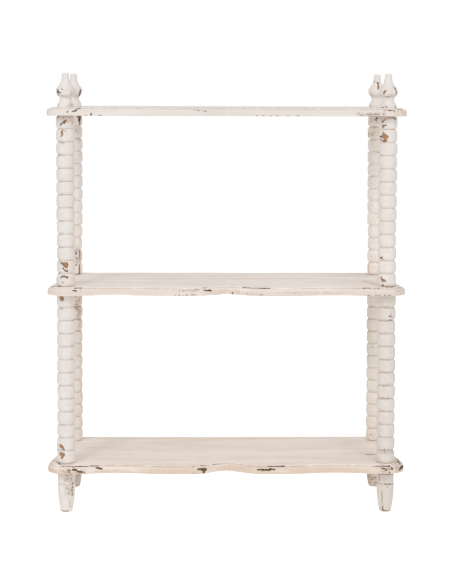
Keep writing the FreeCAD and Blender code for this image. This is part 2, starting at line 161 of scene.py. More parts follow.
WEAR_AND_SHADE_MARKS: dict[str, tuple[Mark, ...]] = {
    "finial_front_left": (
        crack(1.8, (56.2, 89.4), (56.6, 92.5), (57.4, 95.3)),
        crack(1.7, (57.4, 90.4), (57.8, 92.8)),
        chip(1.2, (57.5, 92.6), (59.5, 92.4)),
        chip(1.3, (60.5, 88.6), (61.6, 89.5)),
        stain(2.4, (64.2, 90.8), (65.6, 90.2)),
        stain(5, (68, 105.5), (73, 106)),
        stain(3, (70, 103), (70, 108)),
        stain(3, (68, 88), (71, 92), (70, 97.5)),
        stain(2, (57.2, 105), (57.6, 108)),
        # Tan ring under the belly, just above the neck: painted shade where the belly turns down
        stain(4, (60, 96), (65, 96.9), (71, 95.9)),
    ),
    "finial_rear_left": (
        crack(2.2, (80.5, 90.2), (80, 93), (79.2, 95.9)),
        stain(3.2, (75, 88), (76, 95), (75.5, 98)),
    ),
    "finial_rear_right": (
        chip(1.7, (377.8, 82.8), (378, 84)),
        chip(1, (378, 84.4), (378.2, 86)),
        chip(1.8, (378.4, 86.4), (378.2, 88.6)),
        crack(0.9, (374.5, 81), (374.6, 82.2)),
        stain(2.4, (369, 106), (376, 107.5)),
        # Tan ring under the belly, just above the neck: painted shade where the belly turns down
        stain(4, (369.6, 94.8), (374, 96.2), (379, 95.8)),
    ),
    "finial_front_right": (
        chip(1.9, (384, 93.7), (384.3, 91.6), (385.4, 90.9)),
        chip(1, (385.4, 90.9), (387, 90.4)),
        crack(0.8, (385.3, 96.6), (387, 96.9), (389, 96.3)),
        chip(1.3, (394.1, 87.4), (395.4, 89.3), (395.8, 90.6)),
        chip(1.3, (396.4, 91.6), (396.5, 93.6), (395.9, 96)),
        chip(0.9, (382.4, 107.5), (383.6, 107.3)),
        chip(1, (386.5, 106.5), (386.4, 107.9)),
        crack(1, (395.4, 106.3), (395.6, 108.4)),
        stain(2, (383.5, 107), (385.5, 106.6)),
        # Tan ring under the belly, just above the neck: painted shade where the belly turns down
        stain(4, (381, 95.9), (387, 96.9), (393.6, 95.7)),
    ),
    "top_shelf": (
        chip(1.3, (67.4, 111.3), (67.4, 112.5)),
        chip(1.3, (72.2, 111.4), (74.2, 111.2)),
        chip(2.2, (74.6, 111), (76, 110.2)),
        chip(1.4, (76, 110), (77.4, 108.9), (79.4, 108.3)),
        chip(1.5, (91.3, 113.5), (91.7, 113.7)),
        crack(0.8, (85, 115.4), (87, 115.5)),
        crack(0.8, (90, 115.3), (91.5, 115.4)),
        crack(0.8, (98, 115.4), (102, 115.3)),
        crack(0.7, (193, 109.6), (197, 109.9), (199.5, 110.8)),
        crack(0.8, (202, 110.8), (207, 111.3)),
        *crack_row(
            0.7, 2.2, (256, 115.8), (262.5, 115.8), (270, 115.8), (276, 115.8), (287, 115.8), (297, 115.8)
        ),
        *spots(
            0.8, (363.5, 114.4), (366.5, 113.9), (369.6, 114.6), (371.3, 113.9), (375.2, 114.3),
            (378.4, 114.7)
        ),
        *spots(0.8, (381.8, 114.2), (384.4, 114.4)),
        crack(0.8, (366.5, 113.8), (369.4, 114.6), (372, 114)),
        crack(0.7, (374, 113.8), (376.4, 114.8), (378.5, 114.4)),
        crack(0.8, (370.4, 116.3), (372.2, 116.3)),
        *spots(
            0.7, (357.4, 115), (359.8, 115.9), (362, 114), (365.2, 115.7), (373.4, 115.8), (379.6, 116.2)
        ),
        stain(2.6, (358, 114.6), (370, 114.8), (384, 114.6)),
        crackle(6, (358, 114.8), (372, 114.8), (383, 114.7)),
        chip(1.1, (383.8, 110.5), (387, 110.2), (390.8, 110.6)),
        chip(1, (391.5, 110.2), (393.5, 110.3), (394.6, 111.2)),
        crack(1.1, (396.4, 109.5), (402, 109.4)),
        stain(7, (397, 112.5), (404, 113.5)),
        stain(3, (47.5, 112), (47.5, 115)),
    ),
    "upper_post_front_left": (
        chip(1.7, (66, 120.4), (64.2, 121), (64.4, 123.2), (62.6, 121.9)),
        chip(1.4, (62.6, 121.9), (61.7, 124.4), (60.6, 123.5), (60.1, 125.5)),
        chip(1.6, (57.5, 118), (57.9, 116.6), (58.8, 115.9)),
        chip(1, (63.2, 117.6), (63.8, 117.3)),
        chip(1.7, (62.6, 130.5), (61, 132.6), (62.4, 134.2), (61.2, 135.9)),
        chip(1, (64.4, 130.8), (65.8, 131.1)),
        stain(4.4, (57, 117), (64, 117.2), (72, 117)),
        stain(4, (70.6, 118), (72.2, 120), (72.4, 125)),
        stain(7, (60, 118.4), (69, 118.8)),
        stain(2.6, (57.6, 129), (61.6, 129.4)),
        stain(3, (58.3, 142.3), (63.8, 143)),
        *grooves(2.8, 57.6, 62.4, 155.3, 168.3, 181.3, 194.7, 207.7, 220.9, 233.9, 247.1, 260.1),
        chip(2.2, (61.3, 262.6), (63.4, 264.6)),
        chip(4.4, (65.6, 264.4), (66.4, 266)),
        chip(1.4, (63, 268.2), (64.4, 270), (66.2, 271.2)),
        chip(1.9, (66, 271), (67.6, 271.2)),
        chip(1.4, (61.3, 277.6), (62.8, 276.3)),
        chip(2.2, (63.2, 276.1), (65.4, 276.6), (67.5, 277.3)),
        chip(0.9, (64.3, 279.4), (64.6, 279.6)),
        chip(1.2, (62.6, 282), (62.8, 282.5)),
        crack(1, (58.8, 273.2), (60.4, 272.6)),
    ),
    "upper_post_rear_left": (
        chip(2.2, (77.6, 116.3), (80.6, 116.4)),
        crack(1.7, (79.6, 117.4), (78.8, 118.8), (80, 120.2)),
        crack(1.7, (80.6, 117.4), (80.2, 119), (79, 120.6)),
        chip(1.7, (78.7, 120.8), (79.8, 122.2), (79.6, 124)),
        stain(4, (77, 139), (80, 139.4)),
        stain(5, (76, 131), (79, 132)),
        stain(3, (79.6, 142), (80, 146)),
        chip(1.5, (79.4, 251), (79.5, 255)),
        chip(1.1, (79.5, 255), (79, 259.6)),
        *spots(0.9, (75.6, 252), (76.8, 253.4), (75.4, 255.2), (76.4, 257), (77.6, 258.8), (75.8, 261)),
        crack(0.9, (76, 251.5), (76.2, 254.6)),
        crack(0.9, (75.6, 257.6), (78, 259.6)),
        chip(1.2, (75.8, 264.9), (76.2, 265.2)),
        chip(1.6, (79.3, 265), (79.5, 271.6)),
        chip(1.2, (79.4, 272.4), (79.6, 273.2)),
        chip(1.1, (75.6, 273.9), (79.6, 273.8)),
        stain(2.4, (80.6, 251), (80.8, 262)),
        crackle(7, (76, 250), (77, 262)),
    ),
    "upper_post_front_right": (
        chip(1.1, (381.3, 119.8), (382, 121.2), (382.7, 122.4)),
        chip(1.4, (382.7, 122.2), (383.6, 120.8), (385, 119.4)),
        chip(2.2, (382.9, 126), (383, 127.4)),
        chip(1.2, (383, 125.8), (384.6, 125.6), (386.3, 125.1)),
        chip(1, (383.1, 131.2), (383.3, 131.9)),
        chip(2.2, (383.3, 133.4), (385.2, 134.6)),
        chip(4.8, (383.8, 135.6), (386, 136.2)),
        chip(1.5, (379.8, 136.4), (383, 136.2)),
        chip(1.5, (386, 136.4), (388.1, 136.5)),
        chip(3.4, (385.2, 137.4), (385.6, 141.2)),
        chip(1.5, (380.2, 139.2), (382, 140.6), (384.6, 142)),
        chip(0.9, (381.6, 137), (381.7, 139.6)),
        stain(3.4, (381, 118), (386, 118.6), (391, 118.2)),
        crack(1, (386.5, 117.6), (390, 117.8), (393, 117.5)),
        chip(1.5, (393.4, 117.7), (395.4, 118.9)),
        crack(0.9, (385.5, 129.2), (389, 129.4)),
        crack(1, (391, 129.6), (394.5, 129.4)),
        crack(1.1, (380.2, 257), (382, 258.4), (384, 260)),
        crack(1, (380.8, 258.6), (382.4, 256.9)),
        chip(0.9, (383.4, 259.4), (383.9, 259.8)),
        chip(2.2, (381.4, 278.2), (382.7, 280.8)),
        chip(1.3, (383.2, 279.6), (384.6, 280.4), (386, 281.6)),
        chip(1.4, (381.8, 285.2), (383.8, 285.4)),
        chip(1.4, (382.6, 286), (383, 287)),
        crack(1, (385.8, 286.2), (387.2, 287)),
    ),
    "upper_post_rear_right": (
        chip(1.6, (375.6, 119.4), (376.4, 120.2)),
        chip(1.1, (368.3, 117.4), (368.4, 121), (368.4, 125.6)),
        chip(1.3, (368.3, 132), (368.4, 136)),
        crack(0.8, (375.4, 116.4), (377.2, 118), (379, 118.8)),
        crack(0.8, (378.4, 116), (376.4, 118.2)),
        crack(0.8, (380.6, 116.6), (378.6, 118.8)),
        crackle(5, (372, 117), (379, 118)),
        stain(2.6, (370.3, 127.2), (377, 127.1)),
        stain(5, (371, 121), (377, 122)),
        stain(5, (371, 134), (377, 134)),
        stain(2.6, (371.3, 140.5), (374.9, 140.2)),
        crack(0.9, (378, 152.4), (380.2, 153)),
        chip(0.9, (371, 256), (371.4, 256.4)),
        chip(1, (368.6, 270), (368.8, 270.8)),
        chip(1.1, (369.4, 274.7), (373, 275), (377, 275.1)),
        stain(2.4, (368.6, 262), (368.8, 272)),
    ),
    "middle_shelf": (
        chip(3.2, (52.6, 286.2), (55, 286.3)),
        chip(3.4, (58, 286.5), (60, 286.4), (62.2, 286.5)),
        crack(0.9, (74.6, 288.2), (78, 287.9), (81.6, 288.1)),
        chip(1.5, (72.8, 290.5), (76.2, 290.7)),
        chip(1, (80.4, 290.4), (80.6, 290.9)),
        *spots(0.8, (190.5, 289.9), (191.8, 289.4), (193.6, 289.6), (197.6, 289.6), (198.3, 289.4)),
        chip(1.2, (203.8, 290), (208, 290.4)),
        chip(2, (208, 290.5), (210.8, 290.4)),
        *crack_row(
            0.8, 1.8, (174.4, 295.2), (178.2, 295.2), (182.6, 295.2), (186, 295), (191.4, 295),
            (194.6, 295.1)
        ),
        chip(1.7, (232.4, 292.9), (232.6, 293.4)),
        crack(0.7, (200.4, 287.5), (207, 287.3)),
        crack(0.7, (242.2, 287.5), (249.4, 287.5)),
        crack(0.4, (250.6, 288), (256, 288.2)),
        crack(0.8, (256.6, 288.3), (263, 288.3), (270, 288.4)),
        crack(0.7, (362.3, 288.3), (367, 288), (371, 288.2)),
        crack(0.5, (373, 288.2), (379.4, 288.2)),
        chip(1.4, (385.9, 286.4), (387.6, 287.3), (391, 287.4), (393.6, 286.8)),
        chip(1, (394, 286.6), (396.4, 286)),
        crack(0.9, (397.4, 287.4), (400, 287)),
        chip(0.9, (375.4, 291.3), (375.5, 291.9)),
        *crack_row(
            0.8, 2.4, (260, 295), (368, 295.4), (374.8, 295.4), (378.8, 295.4), (384, 295.3), (388.4, 295.4)
        ),
        stain(3, (214, 291.6), (222, 290.6), (230, 291)),
        stain(5, (232, 292), (238, 292.5)),
        stain(2.4, (243, 293.6), (262, 294.4)),
        stain(6, (397, 291.5), (402, 291)),
        # Wide tan patch left of the rear right post: painted shadow of the post, along with stain
        stain(9, (350, 273.4), (367, 274.8)),
        stain(2.2, (285, 292.6), (345, 292.8)),
        # Wide tan patch left of the front right post: painted shadow of the post, along with stain
        stain(9, (364, 281), (378, 285)),
        crackle(4, (176, 291), (190, 290.2), (200, 289.5)),
    ),
    "lower_post_front_left": (
        chip(2.8, (60.3, 297.3), (62.4, 300)),
        chip(1.8, (61.8, 296.6), (62.8, 298.6)),
        *spots(0.8, (71.2, 297), (72, 299), (71.4, 301.2), (73, 301)),
        chip(3.2, (60.4, 445.4), (62.2, 447.4)),
        chip(2.2, (62, 447.4), (63.6, 449.8)),
        chip(3.8, (60.9, 454.4), (62.9, 454.6)),
        chip(2.8, (61.9, 455.8), (62, 457.6)),
        crack(0.9, (57.4, 443.6), (57.2, 447.4), (58, 450.2)),
        stain(2, (59, 333.6), (62, 333.8)),
        stain(2.2, (60, 425.2), (65, 425.6)),
        *grooves(2.2, 71.4, 73.8, 307, 320, 333, 345.4, 358.6),
        crackle(3, (59, 307), (62, 309)),
    ),
    "lower_post_rear_left": (
        crackle(10, (75, 297), (77, 306), (76, 316)),
        crack(1, (74.2, 297.2), (75.6, 296.4), (75, 298)),
        *spots(1.1, (74.4, 299.3), (73.6, 300.4), (75.4, 300.4)),
        *spots(0.9, (74.4, 310.4), (74.6, 312.6), (74.3, 315), (72.6, 312.4), (72.4, 314.4)),
        crack(0.9, (75, 307.4), (78, 306.9), (79.4, 306.2)),
        crack(0.9, (77, 319.8), (80, 319)),
        chip(1.5, (74.3, 302.4), (74.5, 303)),
        crack(0.9, (76.6, 308), (79, 310.4)),
        stain(6, (79, 297), (79.4, 308)),
        stain(4, (79.6, 311), (80, 330)),
        *grooves(3.2, 76, 80, 306, 318.6, 331),
    ),
    "lower_post_front_right": (
        chip(1.2, (390.2, 316.8), (392.4, 317.3)),
        chip(0.9, (392, 315), (392.4, 315.2)),
        crack(1, (380, 320.6), (386, 321.8), (392.4, 320.8)),
        crack(0.9, (385, 308.4), (388, 309)),
        chip(0.8, (388.9, 302.6), (389.1, 303.2)),
        crack(0.8, (379.6, 451), (384.8, 451), (385.6, 449.8)),
        crack(1, (386, 451.4), (390, 450.6)),
        crack(0.8, (391.2, 451.4), (394.8, 450.8)),
        crackle(3, (381, 453), (388, 453.5), (394, 453)),
        *grooves(2.4, 382.4, 389.6, 307, 321, 334, 347, 360, 373, 386, 399, 412),
    ),
    "lower_post_rear_right": (
        chip(0.9, (370.6, 434.6), (370.9, 435.2)),
        chip(0.8, (372.2, 347), (372.4, 347.4)),
        *grooves(2.2, 369.5, 373.5, 306.4, 319, 331.4),
        stain(5, (370, 300), (376, 300.4)),
    ),
    "bottom_shelf": (
        crack(0.7, (52.6, 460.2), (54.6, 461.4), (56.6, 461.6)),
        crack(1, (56.7, 461.3), (58.4, 462.8)),
        chip(1.3, (58.2, 462.8), (60, 464.5)),
        crack(0.7, (60.4, 464.3), (66, 464.9), (73.4, 464.3)),
        crack(0.6, (60.6, 466.3), (66, 466.1), (72.8, 466.4)),
        crack(0.7, (74.4, 466.5), (82, 466.6), (88, 466.3)),
        crack(0.7, (90, 466.1), (98, 465.7)),
        chip(1.1, (72.6, 467.1), (74, 467.4)),
        chip(2.3, (73.3, 469.6), (76.2, 470.1)),
        chip(2, (77.6, 471.2), (81.6, 472.1)),
        chip(1.1, (82.8, 472.3), (83.3, 472.6)),
        chip(1.2, (84.7, 473), (85.2, 473.3)),
        crack(0.8, (70.8, 470.4), (68.6, 470.6), (68.4, 472), (70.4, 472.8)),
        chip(1.5, (96.4, 467.6), (99.2, 468.2)),
        chip(2.2, (98.8, 468), (101.8, 469)),
        crackle(6, (66, 471), (74, 472), (83, 472.5)),
        chip(1.5, (197.8, 469.5), (201, 469)),
        chip(2.8, (201.4, 469.1), (205.6, 469.2)),
        chip(2.1, (205.6, 469.6), (203.8, 472.6)),
        crack(0.7, (192.2, 466.4), (194, 466.6)),
        crack(0.6, (201, 465.5), (206, 465.3)),
        crack(0.8, (213, 464.6), (219.4, 464.2)),
        stain(1.6, (222, 463.2), (228, 462.6)),
        crack(0.7, (192.4, 473.3), (196.6, 473.3)),
        crack(0.8, (267.6, 466.3), (276, 466.5), (285, 466.1)),
        chip(1.3, (282, 465.5), (283.2, 465.7)),
        chip(1.6, (257.4, 469.9), (261.4, 469.9)),
        chip(2.5, (262.4, 469.6), (266, 469.9), (270.4, 469.4)),
        chip(1.5, (270.4, 469.2), (274.6, 469.4)),
        *spots(
            0.6, (258, 461.8), (260.6, 462.3), (263, 462.4), (265.4, 461.8), (269, 462.2), (271.6, 462.4)
        ),
        crack(0.9, (361.6, 454.4), (366, 454.3)),
        crack(2.4, (366, 454.3), (372, 454.5), (377.4, 454.5)),
        crack(1, (373, 466.4), (379, 466.4), (384.5, 466.3), (390, 466.1)),
        crack(1, (379.6, 464.6), (383.2, 464.7)),
        chip(1.1, (381.4, 468.4), (384.8, 468.5)),
        chip(1.4, (385.4, 470.8), (386.2, 469.7)),
        crack(1, (386.4, 469.4), (388.6, 469)),
        chip(1.8, (391.8, 467.9), (392.1, 469.1)),
        chip(1.3, (389.6, 472.4), (390.1, 472.7)),
        chip(2.3, (399.9, 469.4), (400.7, 467.8)),
        chip(2.5, (401, 467.4), (403.2, 466.4)),
        crack(1, (395.4, 458.3), (397.6, 460), (400.2, 462.4)),
        chip(1.3, (394.4, 461.7), (397.6, 461.4)),
        chip(1.4, (398.4, 461.8), (399.6, 463.8)),
        crack(1.1, (392.2, 464.3), (395, 463.9), (396.2, 462.9)),
        crackle(8, (384, 469), (393, 468), (402, 465)),
        crackle(6, (396, 460), (400, 463)),
        stain(5, (50, 467), (52.5, 470)),
        stain(4, (60, 470.5), (72, 472)),
        stain(2.4, (228, 466), (250, 468.4)),
        stain(3, (96, 471), (110, 471.4)),
    ),
    "foot_front_left": (
        crackle(11, (69.5, 475), (70.5, 482)),
        crackle(10, (69.5, 488), (71, 493)),
        *spots(1.7, (73.6, 483.4), (73.6, 487.2), (73.1, 489.4), (73.3, 491.6), (73.6, 494.4)),
        *spots(0.8, (66.2, 475.8), (68.4, 478.4), (70.8, 476.6), (72.3, 480.3), (69.5, 481.5), (70.3, 487)),
        *spots(0.8, (71.7, 489.6), (68.3, 488.6), (69.9, 492.5), (63.7, 496.8)),
        crack(0.9, (61.6, 509.4), (63.4, 510.9)),
        crack(0.7, (64, 511), (69.6, 511)),
        stain(4, (59.6, 474), (66, 474.5), (72, 474)),
        stain(2.4, (70.2, 499), (71.6, 507)),
    ),
    "foot_rear_left": (
        stain(5, (74, 481.6), (76.4, 483)),
        # Darker along the right edge: painted shade
        stain(2.4, (80, 474), (79.6, 484)),
        chip(0.8, (75.6, 484.1), (76.2, 484.6)),
        crackle(8, (77, 476), (79, 482)),
    ),
    "foot_front_right": (
        crack(0.8, (380.2, 474.6), (387, 474.7), (394.4, 474.6)),
        crack(0.7, (380.6, 475.4), (380.7, 480.6)),
        stain(1.6, (380.6, 475.4), (380.7, 481)),
        *spots(
            1.0, (379, 484.3), (382.6, 484.3), (386.6, 484.3), (388.6, 484.4), (390.4, 484.5), (392, 484.5)
        ),
        *spots(1.0, (394.3, 484)),
        crack(0.9, (386, 484.5), (392.4, 484.6)),
        stain(2, (383, 486), (383.3, 495), (383.5, 504)),
        crack(0.6, (383.4, 492), (383.5, 504)),
        chip(1.1, (384, 506.5), (384.4, 510.8)),
        crack(0.7, (384.4, 511), (391, 511.2)),
        chip(0.8, (388.8, 487.4), (389.2, 488)),
        stain(2.4, (393.8, 490), (393.2, 504)),
        stain(2.4, (380, 508), (384, 511), (391, 511.4)),
    ),
    "foot_rear_right": (
        stain(4, (369, 476), (371, 483)),
        chip(1.1, (372.1, 479), (372.5, 479.5)),
        *spots(
            0.8, (369.3, 476.7), (374.9, 477.5), (370.7, 481.7), (375.7, 482), (373.5, 484.5),
            (371.3, 485.5)
        ),
        crackle(11, (369, 476), (373, 484)),
    ),
}

# How far a piece in the picture stands from its straight place, in pixels to the right and down

OFF_PLACE: dict[str, Pair] = {
    "finial_front_left": (-1.0, 0.0),
    "lower_post_front_right": (1.0, 0.75),
    "foot_front_left": (1.0, 0.0),
    "foot_front_right": (1.5, 0.5),
    "foot_rear_left": (1.0, 0.0),
}


# The picture


@dataclass(frozen=True)
class Viewpoint:
    """Where the picture is taken from. The place is in metres and the turns are in radians."""

    place: Place = (-0.05994, -3.48143, 0.95426)
    turn: float = -0.01714
    tilt: float = 0.05324
    roll: float = 0.00278
    lens: float = 93.58
    sensor: float = 36.0
    shift: float = -0.2128
    picture: tuple[int, int] = (452, 584)

    def axes(self) -> tuple[Vector, Vector, Vector]:
        """The camera's right, upward and forward directions."""
        right = Vector((math.cos(self.turn), math.sin(self.turn), 0))
        ahead = Vector((-math.sin(self.turn), math.cos(self.turn), 0))
        forward = math.cos(self.tilt) * ahead - math.sin(self.tilt) * UP
        upward = math.sin(self.tilt) * ahead + math.cos(self.tilt) * UP
        rolled_right = math.cos(self.roll) * right + math.sin(self.roll) * upward
        rolled_up = math.cos(self.roll) * upward - math.sin(self.roll) * right
        return rolled_right, rolled_up, forward

    def focal_pixels(self) -> float:
        """The distance at which one pixel spans one pixel's width."""
        return self.lens / self.sensor * max(self.picture)

    def sight(self, across: float, down: float) -> Vector:
        """The direction of a picture point, counted in pixels from the upper left corner."""
        wide, high = self.picture
        right, upward, forward = self.axes()
        rise = high * (0.5 + self.shift) - down
        return (forward + ((across - wide / 2) * right + rise * upward) / self.focal_pixels()).normalized()

    def build(self) -> None:
        """Makes the camera and gives it to the scene."""
        right, upward, forward = self.axes()
        camera = show("camera", bpy.data.cameras.new("camera"))
        camera.data.lens = self.lens
        camera.data.sensor_width = self.sensor
        camera.data.shift_y = self.shift
        facing = Matrix((right, upward, -forward)).transposed().to_4x4()
        camera.matrix_world = Matrix.Translation(self.place) @ facing
        bpy.context.scene.camera = camera


@dataclass(frozen=True)
class Tracing:
    """Lays the picture's marks on the pieces, where the camera sees them."""

    view: Viewpoint
    spacing: float = 1.5
    tries: int = 8

    def strokes(self, node: str, mesh: bpy.types.Mesh, base: Vector) -> list[Stroke]:
        """Carries a node's marks over to the piece that stands for it.

        Args:
            node: The CAD node that the marks are on.
            mesh: The piece's mesh, before it is worn.
            base: The middle of the node's lowest face, in metres.

        Returns:
            The strokes, in the order of the marks.
        """
        corners = [vertex.co for vertex in mesh.vertices]
        skin = BVHTree.FromPolygons(corners, [tuple(face.vertices) for face in mesh.polygons])
        off_x, off_y = OFF_PLACE.get(node, (0.0, 0.0))
        eye = Vector(self.view.place)
        found = []
        for mark in WEAR_AND_SHADE_MARKS.get(node, ()):
            ways = [self.view.sight(across - off_x, down - off_y) for across, down in self.dense(mark.points)]
            landed = [self.land(skin, eye, way, base) for way in ways]
            pixel = (landed[0] - eye).length / self.view.focal_pixels() / MM
            points = np.array([(place - base) / MM for place in landed])
            found.append(Stroke(mark.wear, mark.width * pixel, points))
        return found

    def dense(self, points: Sequence[Pair]) -> list[Pair]:
        """The points with more between them, so that a stroke follows a round surface."""
        rows = [points[0]]
        for start, end in itertools.pairwise(points):
            count = max(1, math.ceil(math.dist(start, end) / self.spacing))
            for step in range(1, count + 1):
                rows.append(tuple(a + step / count * (b - a) for a, b in zip(start, end)))
        return rows

    def land(self, skin: BVHTree, eye: Vector, way: Vector, near: Vector) -> Vector:
        """Where a line of sight meets a surface, or the place on it that the line passes nearest."""
        met = skin.ray_cast(eye, way)[0]
        place = met or near
        for _ in range(0 if met else self.tries):
            place = skin.find_nearest(eye + way * (place - eye).dot(way))[0]
        return place


# Objects and meshes


def show(name: str, data: bpy.types.ID) -> bpy.types.Object:
    """Puts a new object with the given mesh, light or camera in the scene."""
    made = bpy.data.objects.new(name, data)
    bpy.context.scene.collection.objects.link(made)
    return made


def base_and_size(node: str) -> tuple[Vector, list[float]]:
    """The middle of a node's lowest face in metres, and its width, depth and height in millimetres."""
    low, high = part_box(node)
    base = Vector(((low.x + high.x) / 2, (low.y + high.y) / 2, low.z))
    return base, [(above - below) / MM for below, above in zip(low, high)]


def read_rows(items: bpy.types.bpy_prop_collection, name: str) -> np.ndarray:
    """One row of x, y and z for each of a mesh's items."""
    rows = np.empty(len(items) * 3)
    items.foreach_get(name, rows)
    return rows.reshape(-1, 3)


def write_values(mesh: bpy.types.Mesh, name: str, values: np.ndarray) -> None:
    """Keeps one number for each vertex under a name that the paint reads."""
    layer = mesh.attributes.get(name) or mesh.attributes.new(name, "FLOAT", "POINT")
    layer.data.foreach_set("value", values.astype(np.float32))


def settle(piece: bpy.types.Object, node: str) -> bpy.types.Object:
    """Puts a finished piece in the place of its CAD node."""
    piece.data.set_sharp_from_angle(angle=CRISP_EDGE)
    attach(piece, BODY)
    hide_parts(node)
    return piece


# Node trees


class Signal:
    """A node's output, which plain arithmetic carries on with further nodes."""

    def __init__(self, sheet: "NodeSheet", socket: bpy.types.NodeSocket) -> None:
        """Keeps the output and the sheet that its node is on."""
        self.sheet = sheet
        self.socket = socket

    def __add__(self, other: "Signal | float") -> "Signal":
        """The sum."""
        return self.sheet.math("ADD", self, other)

    def __sub__(self, other: "Signal | float") -> "Signal":
        """The difference."""
        return self.sheet.math("SUBTRACT", self, other)

    def __rsub__(self, other: float) -> "Signal":
        """What this leaves of a number."""
        return self.sheet.math("SUBTRACT", other, self)

    def __mul__(self, other: "Signal | float") -> "Signal":
        """The product."""
        return self.sheet.math("MULTIPLY", self, other)

    def __truediv__(self, other: "Signal | float") -> "Signal":
        """The quotient."""
        return self.sheet.math("DIVIDE", self, other)

    def __rtruediv__(self, other: float) -> "Signal":
        """A number divided by this."""
        return self.sheet.math("DIVIDE", other, self)

    def clamped(self) -> "Signal":
        """The same sum or product, kept between 0 and 1."""
        self.socket.node.use_clamp = True
        return self


class NodeSheet:
    """A node tree with short calls that add a node and join its inputs."""

    def __init__(self, tree: bpy.types.NodeTree) -> None:
        """Empties the tree that the calls add to."""
        self.tree = tree
        tree.nodes.clear()

    def add(self, kind: str, *values: object, **named: object) -> bpy.types.Node:
        """Adds a node.

        Args:
            kind: Blender's name for the node.
            values: Signals or plain values for the first inputs.
            named: The node's own settings, or inputs by name with spaces written as underscores.

        Returns:
            The new node.
        """
        node = self.tree.nodes.new(kind)
        inputs = {}
        for name, value in named.items():
            if hasattr(node, name):
                setattr(node, name, value)
            else:
                inputs[name.replace("_", " ")] = value
        for socket, value in zip((s for s in node.inputs if s.enabled), values):
            self.feed(socket, value)
        for name, value in inputs.items():
            self.feed(next(s for s in node.inputs if s.name == name and s.enabled), value)
        return node

    def feed(self, socket: bpy.types.NodeSocket, value: object) -> None:
        """Joins an input to a signal, or sets its plain value."""
        if isinstance(value, Signal):
            self.tree.links.new(value.socket, socket)
        else:
            socket.default_value = value

    def read(self, kind: str, *values: object, output: str | None = None, **named: object) -> Signal:
        """Adds a node and returns its first output, or the output of the given name."""
        node = self.add(kind, *values, **named)
        return Signal(self, next(s for s in node.outputs if s.enabled and output in (None, s.name)))

    def split(self, vector: Signal) -> list[Signal]:
        """A vector's x, y and z."""
        return [Signal(self, socket) for socket in self.add("ShaderNodeSeparateXYZ", vector).outputs]

    def math(self, operation: str, *values: object) -> Signal:
        """Adds one step of arithmetic."""
        return self.read("ShaderNodeMath", *values, operation=operation)

    def vector(self, operation: str, *values: object) -> Signal:
        """Adds one step of vector arithmetic."""
        return self.read("ShaderNodeVectorMath", *values, operation=operation)

    def ramp(self, value: Signal, low: float, high: float) -> Signal:
        """Fades smoothly from 0 at the low value to 1 at the high one."""
        return self.read(
            "ShaderNodeMapRange", interpolation_type="SMOOTHSTEP", Value=value, From_Min=low, From_Max=high
        )

    def noise(self, vector: Signal, scale: object, detail: float, **named: object) -> Signal:
        """Adds a cloudy pattern."""
        return self.read("ShaderNodeTexNoise", Vector=vector, Scale=scale, Detail=detail, **named)

    def mix(self, share: Signal, first: object, second: object) -> Signal:
        """Mixes two colours."""
        return self.read("ShaderNodeMix", data_type="RGBA", Factor=share, A=first, B=second)

    def value(self, name: str) -> Signal:
        """Reads one of the numbers kept on the mesh."""
        return self.read("ShaderNodeAttribute", output="Fac", attribute_name=name)

    def surface(
        self, colour: object, roughness: object, height: Signal | None = None, **named: object
    ) -> None:
        """Ends a material in one shader.

        Args:
            colour: The colour, plain or as a signal.
            roughness: The roughness, plain or as a signal.
            height: The relief in millimetres, where there is any.
            named: More of the shader's inputs.
        """
        if height:
            named["Normal"] = self.read("ShaderNodeBump", Height=height, Distance=MM)
        shader = self.read("ShaderNodeBsdfPrincipled", Base_Color=colour, Roughness=roughness, **named)
        self.add("ShaderNodeOutputMaterial", shader)


